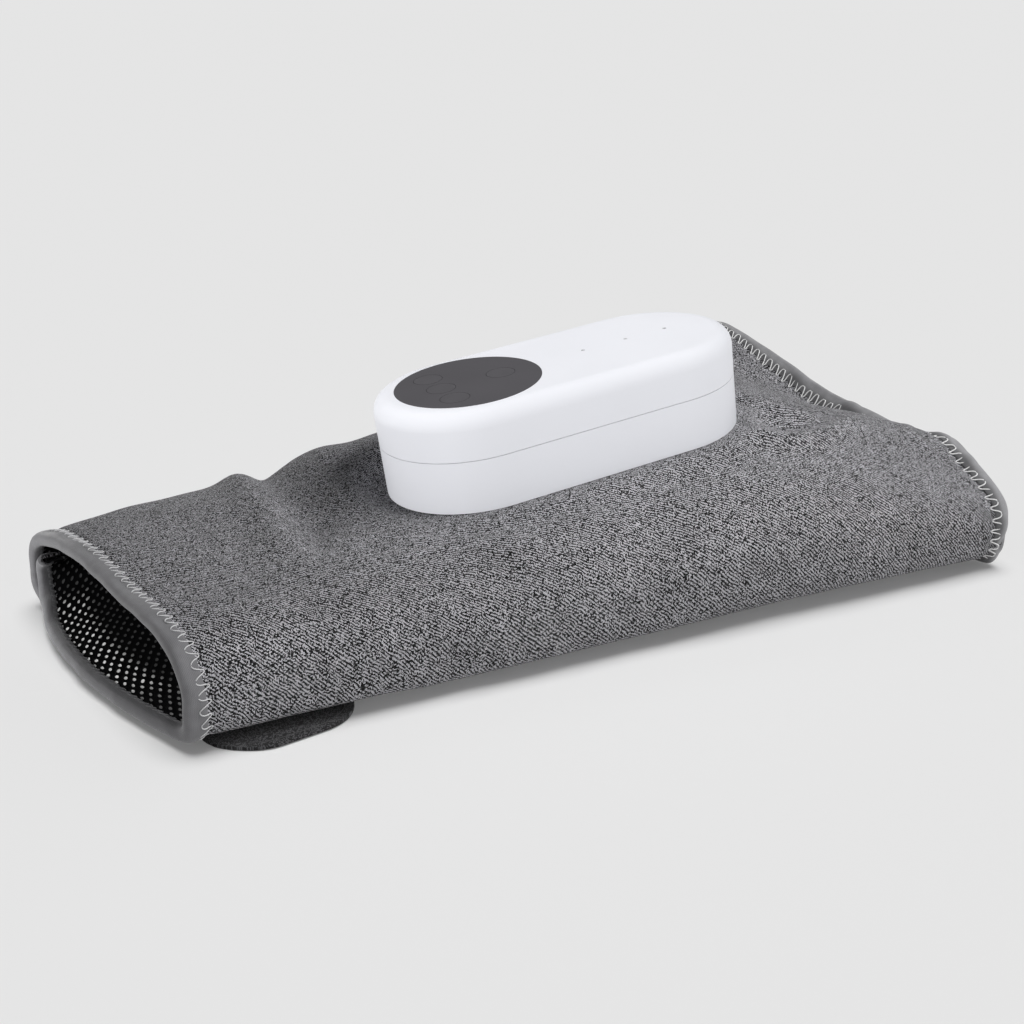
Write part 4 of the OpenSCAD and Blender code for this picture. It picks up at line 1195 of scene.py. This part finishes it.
TINT = (1.0, 0.99, 1.045)
mats = {
    "cover_fabric": weave("heathered_weave", (0.35, 0.37), 0.004, 0.56, TINT, lean=0.3),
    "binding_tape": tape_cloth("binding_weave", (0.150, 0.149, 0.156)),
    "mesh_lining": mesh_cloth("spacer_mesh"),
    "chamber_film": film("coated_film", (0.06, 0.06, 0.065)),
    "loop_fabric": pile("brushed_loops", (0.05, 0.05, 0.052), 0.8, 0.0003),
    "hook_tape": pile("moulded_hooks", (0.012, 0.012, 0.013), 1.5, 0.0004, True),
    "strap_fabric": weave("strap_weave", (0.42, 0.42), 0.016, 0.105, TINT, twill=False, lean=0.1, slubs=0.9, depth=0.0001),
    "case_white": plastic("satin_white", (0.800, 0.808, 0.850), 0.40, 0.30, 0.008, 30.0, 0.05, 0.35),
    "panel_dark": plastic("panel_grey", (0.088, 0.085, 0.093), 0.46, 0.28, 0.04, 40.0, 0.10, 0.5),
    "key_dark": plastic("key_grey", (0.091, 0.088, 0.096), 0.46, 0.28, 0.05, 200.0, 0.10, 0.5),
    "circuit_board": board("solder_mask"),
    "black_plastic": plastic("moulded_black", (0.028, 0.028, 0.030), 0.5, 0.30, 0.2, 200.0, 0.15),
    "clear_pipe": milky("milky_resin", (0.50, 0.50, 0.53), 0.15, 0.30),
    "led_resin": milky("clear_resin", (0.88, 0.86, 0.74), 0.6, 0.12),
    "tube_silicone": milky("silicone", (0.70, 0.71, 0.74), 0.3, 0.42),
    "cell_wrap": wrap_film("shrink_film", (0.03, 0.12, 0.36)),
    "plated_steel": metal("plated_metal", (0.62, 0.62, 0.63)),
    "natural_nylon": plastic("nylon", (0.72, 0.69, 0.58), 0.5, 0.35, 0.06, 150.0, 0.12),
    "black_rubber": rubber("rubber_black", (0.018, 0.018, 0.019)),
}
# painted light: the calf tape is the same tape as the ankle's, given a lighter colour because the calf end sits in more
# light; its border value paints the strongest shade along its stitched border
calf_binding = tape_cloth("calf_binding_weave_painted_light", (0.268, 0.267, 0.276), border=0.50)
flat_binding = tape_cloth("flap_binding_weave", (0.135, 0.135, 0.140), border=1.0)
thread_pale = yarn("thread_pale", (0.64, 0.64, 0.65))
thread_white = yarn("thread_white", (0.85, 0.85, 0.85))
thread_grey = yarn("thread_grey", (0.16, 0.16, 0.165))
thread_dark = yarn("thread_dark", (0.05, 0.05, 0.052))


def paint(ob, mat):
    ob.data.materials.clear()
    ob.data.materials.append(mat)


for sub in frame["record"]["subparts"]:
    for sl in N[sub["node"]].material_slots:
        sl.link = "OBJECT"
        sl.material = mats[sub["material_slot"]]

# ----------------------------------------------------------------------
# what stands for what, and what each piece rides on
FLAP = "flap"

for ob, mat, slot_name, stands in (
    (cover, "cover_fabric", "cover_fabric", ("outer_cover",)),
    (lining, "mesh_lining", "mesh_lining", ("inner_lining",)),
    (ankle_bladder, "chamber_film", "chamber_film", ("ankle_chamber",)),
    (calf_bladder, "chamber_film", "chamber_film", ("calf_chamber",)),
    (ankle_tape, "binding_tape", "binding_tape", ("ankle_binding",)),
    (calf_tape, "binding_tape", "binding_tape", ("calf_binding",)),
    (loops, "loop_fabric", "loop_fabric", ("loop_panel",)),
):
    paint(ob, mats[mat])
    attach(ob, BODY)
    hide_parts(*stands)
calf_tape.data.materials[0] = calf_binding
for ob, mat in ((ankle_zig, thread_pale), (ankle_zig_in, thread_grey), (calf_zig, thread_white), (calf_zig_in, thread_grey)):
    paint(ob, mat)
    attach(ob, BODY)

paint(straps, mats["strap_fabric"]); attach(straps, FLAP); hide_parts("closure_straps")
paint(pads, mats["hook_tape"]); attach(pads, FLAP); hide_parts("hook_pads")
paint(strap_thread, thread_dark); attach(strap_thread, FLAP)
paint(flap_cloth, mats["cover_fabric"]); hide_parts("closure_flap")
paint(flap_edge_tape, flat_binding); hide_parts("flap_binding")
paint(flap_thread, thread_pale)
for ob in (flap_cloth, flap_edge_tape, flap_thread):
    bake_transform(ob)

# ----------------------------------------------------------------------
# floor, world, lights and camera
fl = Mat("floor_pale")
fn = fl.noise(fl.coords(), 3.0, 2.0)
fl.set(color=fl.mix(fn, (0.823, 0.823, 0.823), (0.825, 0.825, 0.825)), rough=0.95, spec=0.0)
fm = bpy.data.meshes.new("floor")
R_ = 60.0
fm.from_pydata([(-R_, -R_, 0), (R_, -R_, 0), (R_, R_, 0), (-R_, R_, 0)], [], [(0, 1, 2, 3)])
floor = bpy.data.objects.new("floor", fm)
floor.location.z = -0.00005
bpy.context.scene.collection.objects.link(floor)
paint(floor, fl.m)

world = bpy.data.worlds.new("studio")
world.use_nodes = True
wt = world.node_tree
bg = wt.nodes["Background"]
bg.inputs[0].default_value = (0.783, 0.783, 0.783, 1)
lp = wt.nodes.new("ShaderNodeLightPath")
wm = wt.nodes.new("ShaderNodeMapRange")
wm.inputs[3].default_value = 0.14 / 0.783
wm.inputs[4].default_value = 1.0
wt.links.new(lp.outputs["Is Camera Ray"], wm.inputs[0])
wt.links.new(wm.outputs[0], bg.inputs[1])
bpy.context.scene.world = world


def group(name, obs):
    c = bpy.data.collections.new(name)
    for ob in obs:
        c.objects.link(ob)
    return c


CLOTH = group("lit_cloth", [cover, lining, ankle_bladder, calf_bladder, ankle_tape, calf_tape, loops, ankle_zig, ankle_zig_in,
                            calf_zig, calf_zig_in, straps, pads, strap_thread, flap_cloth, flap_edge_tape, flap_thread])
INSIDE = group("lit_mouth", [lining, ankle_zig_in])
RIM = group("lit_rim", [ankle_tape])
FLOOR = group("lit_floor", [floor])
HARD = group("lit_hard", [ob for ob in N.values()])
POD = group("lit_pod", [N[n] for n in ("upper_case", "lower_case", "indicator_pipes", "indicator_leds", "charge_port", "case_screws")])


def aim(az, el):
    a, b = math.radians(az), math.radians(el)
    return (-math.cos(a) * math.cos(b), -math.sin(a) * math.cos(b), -math.sin(b))


def light(kind, name, towards, energy, angle=None, at=None, size=None, only=None, past=None):
    d = bpy.data.lights.new(name, kind)
    d.energy = energy
    if angle is not None:
        d.angle = math.radians(angle)
    if size is not None:
        d.shape = "DISK"
        d.size = size
    ob = bpy.data.objects.new(name, d)
    ob.rotation_euler = Vector(towards).to_track_quat("-Z", "Y").to_euler()
    if at is not None:
        ob.location = at
        ob.visible_camera = False
    bpy.context.scene.collection.objects.link(ob)
    if only is not None:
        ob.light_linking.receiver_collection = only
    if past is not None:
        ob.light_linking.blocker_collection = past
    return ob


light("SUN", "overhead", (-0.02, 0.06, -1.0), 0.66 * math.pi, angle=40, only=FLOOR)
light("SUN", "overhead_even", (0.0, 0.0, -1.0), 0.15 * math.pi, angle=5, only=FLOOR, past=FLOOR)
light("SUN", "top_hard", (-0.02, 0.06, -1.0), 0.885 * math.pi, angle=110, only=HARD).visible_glossy = False
light("SUN", "key", aim(-56, 23), 0.40 * math.pi, angle=38, only=CLOTH)
light("SUN", "right", aim(-18, 42), 0.50 * math.pi, angle=36, only=CLOTH)
light("AREA", "lamp", (0.0, 0.25, -1.0), 0.62, at=(0.07, -0.13, 0.34), size=0.12, only=CLOTH)
light("SUN", "behind", aim(105, 0), 0.32 * math.pi, angle=26, only=CLOTH)
light("AREA", "mouth", (0.70, 0.60, -0.42), 7.0, at=(-0.72, -0.50, 0.36), size=0.35, only=INSIDE)
light("AREA", "mouth_rim", (0.62, 0.66, -0.56), 0.46, at=(-0.40, -0.35, 0.25), size=0.20, only=RIM)
light("AREA", "rim_low", (1.0, -0.15, -0.2), 0.055, at=(-0.262, 0.035, 0.022), size=0.03, only=RIM)
for az, el, share in ((-62, 2, 0.27), (58, 2, 0.33), (178, 0, 0.55)):
    ob = light("SUN", "pod_fill_%d" % az, aim(az, el), share * math.pi, angle=50, only=POD, past=POD)
    ob.visible_glossy = False

cam_data = bpy.data.cameras.new("camera")
cam_data.sensor_fit = "HORIZONTAL"
cam_data.sensor_width = 36.0
cam_data.lens = 1316.47 / 1024.0 * 36.0
cam_data.clip_start = 0.01
cam_data.clip_end = 200.0
camera = bpy.data.objects.new("camera", cam_data)
right = Vector((0.90947, -0.41575, 0.0)).normalized()
ahead = Vector((0.38794, 0.84906, -0.35862)).normalized()
upv = right.cross(ahead)
rot = Matrix((right, upv, -ahead)).transposed()
camera.matrix_world = Matrix.Translation((-0.21614, -0.42406, 0.20723)) @ rot.to_4x4()
bpy.context.scene.collection.objects.link(camera)
bpy.context.scene.camera = camera
bpy.context.scene.view_settings.view_transform = "Standard"
bpy.context.scene.view_settings.look = "None"

bpy.context.view_layer.update()
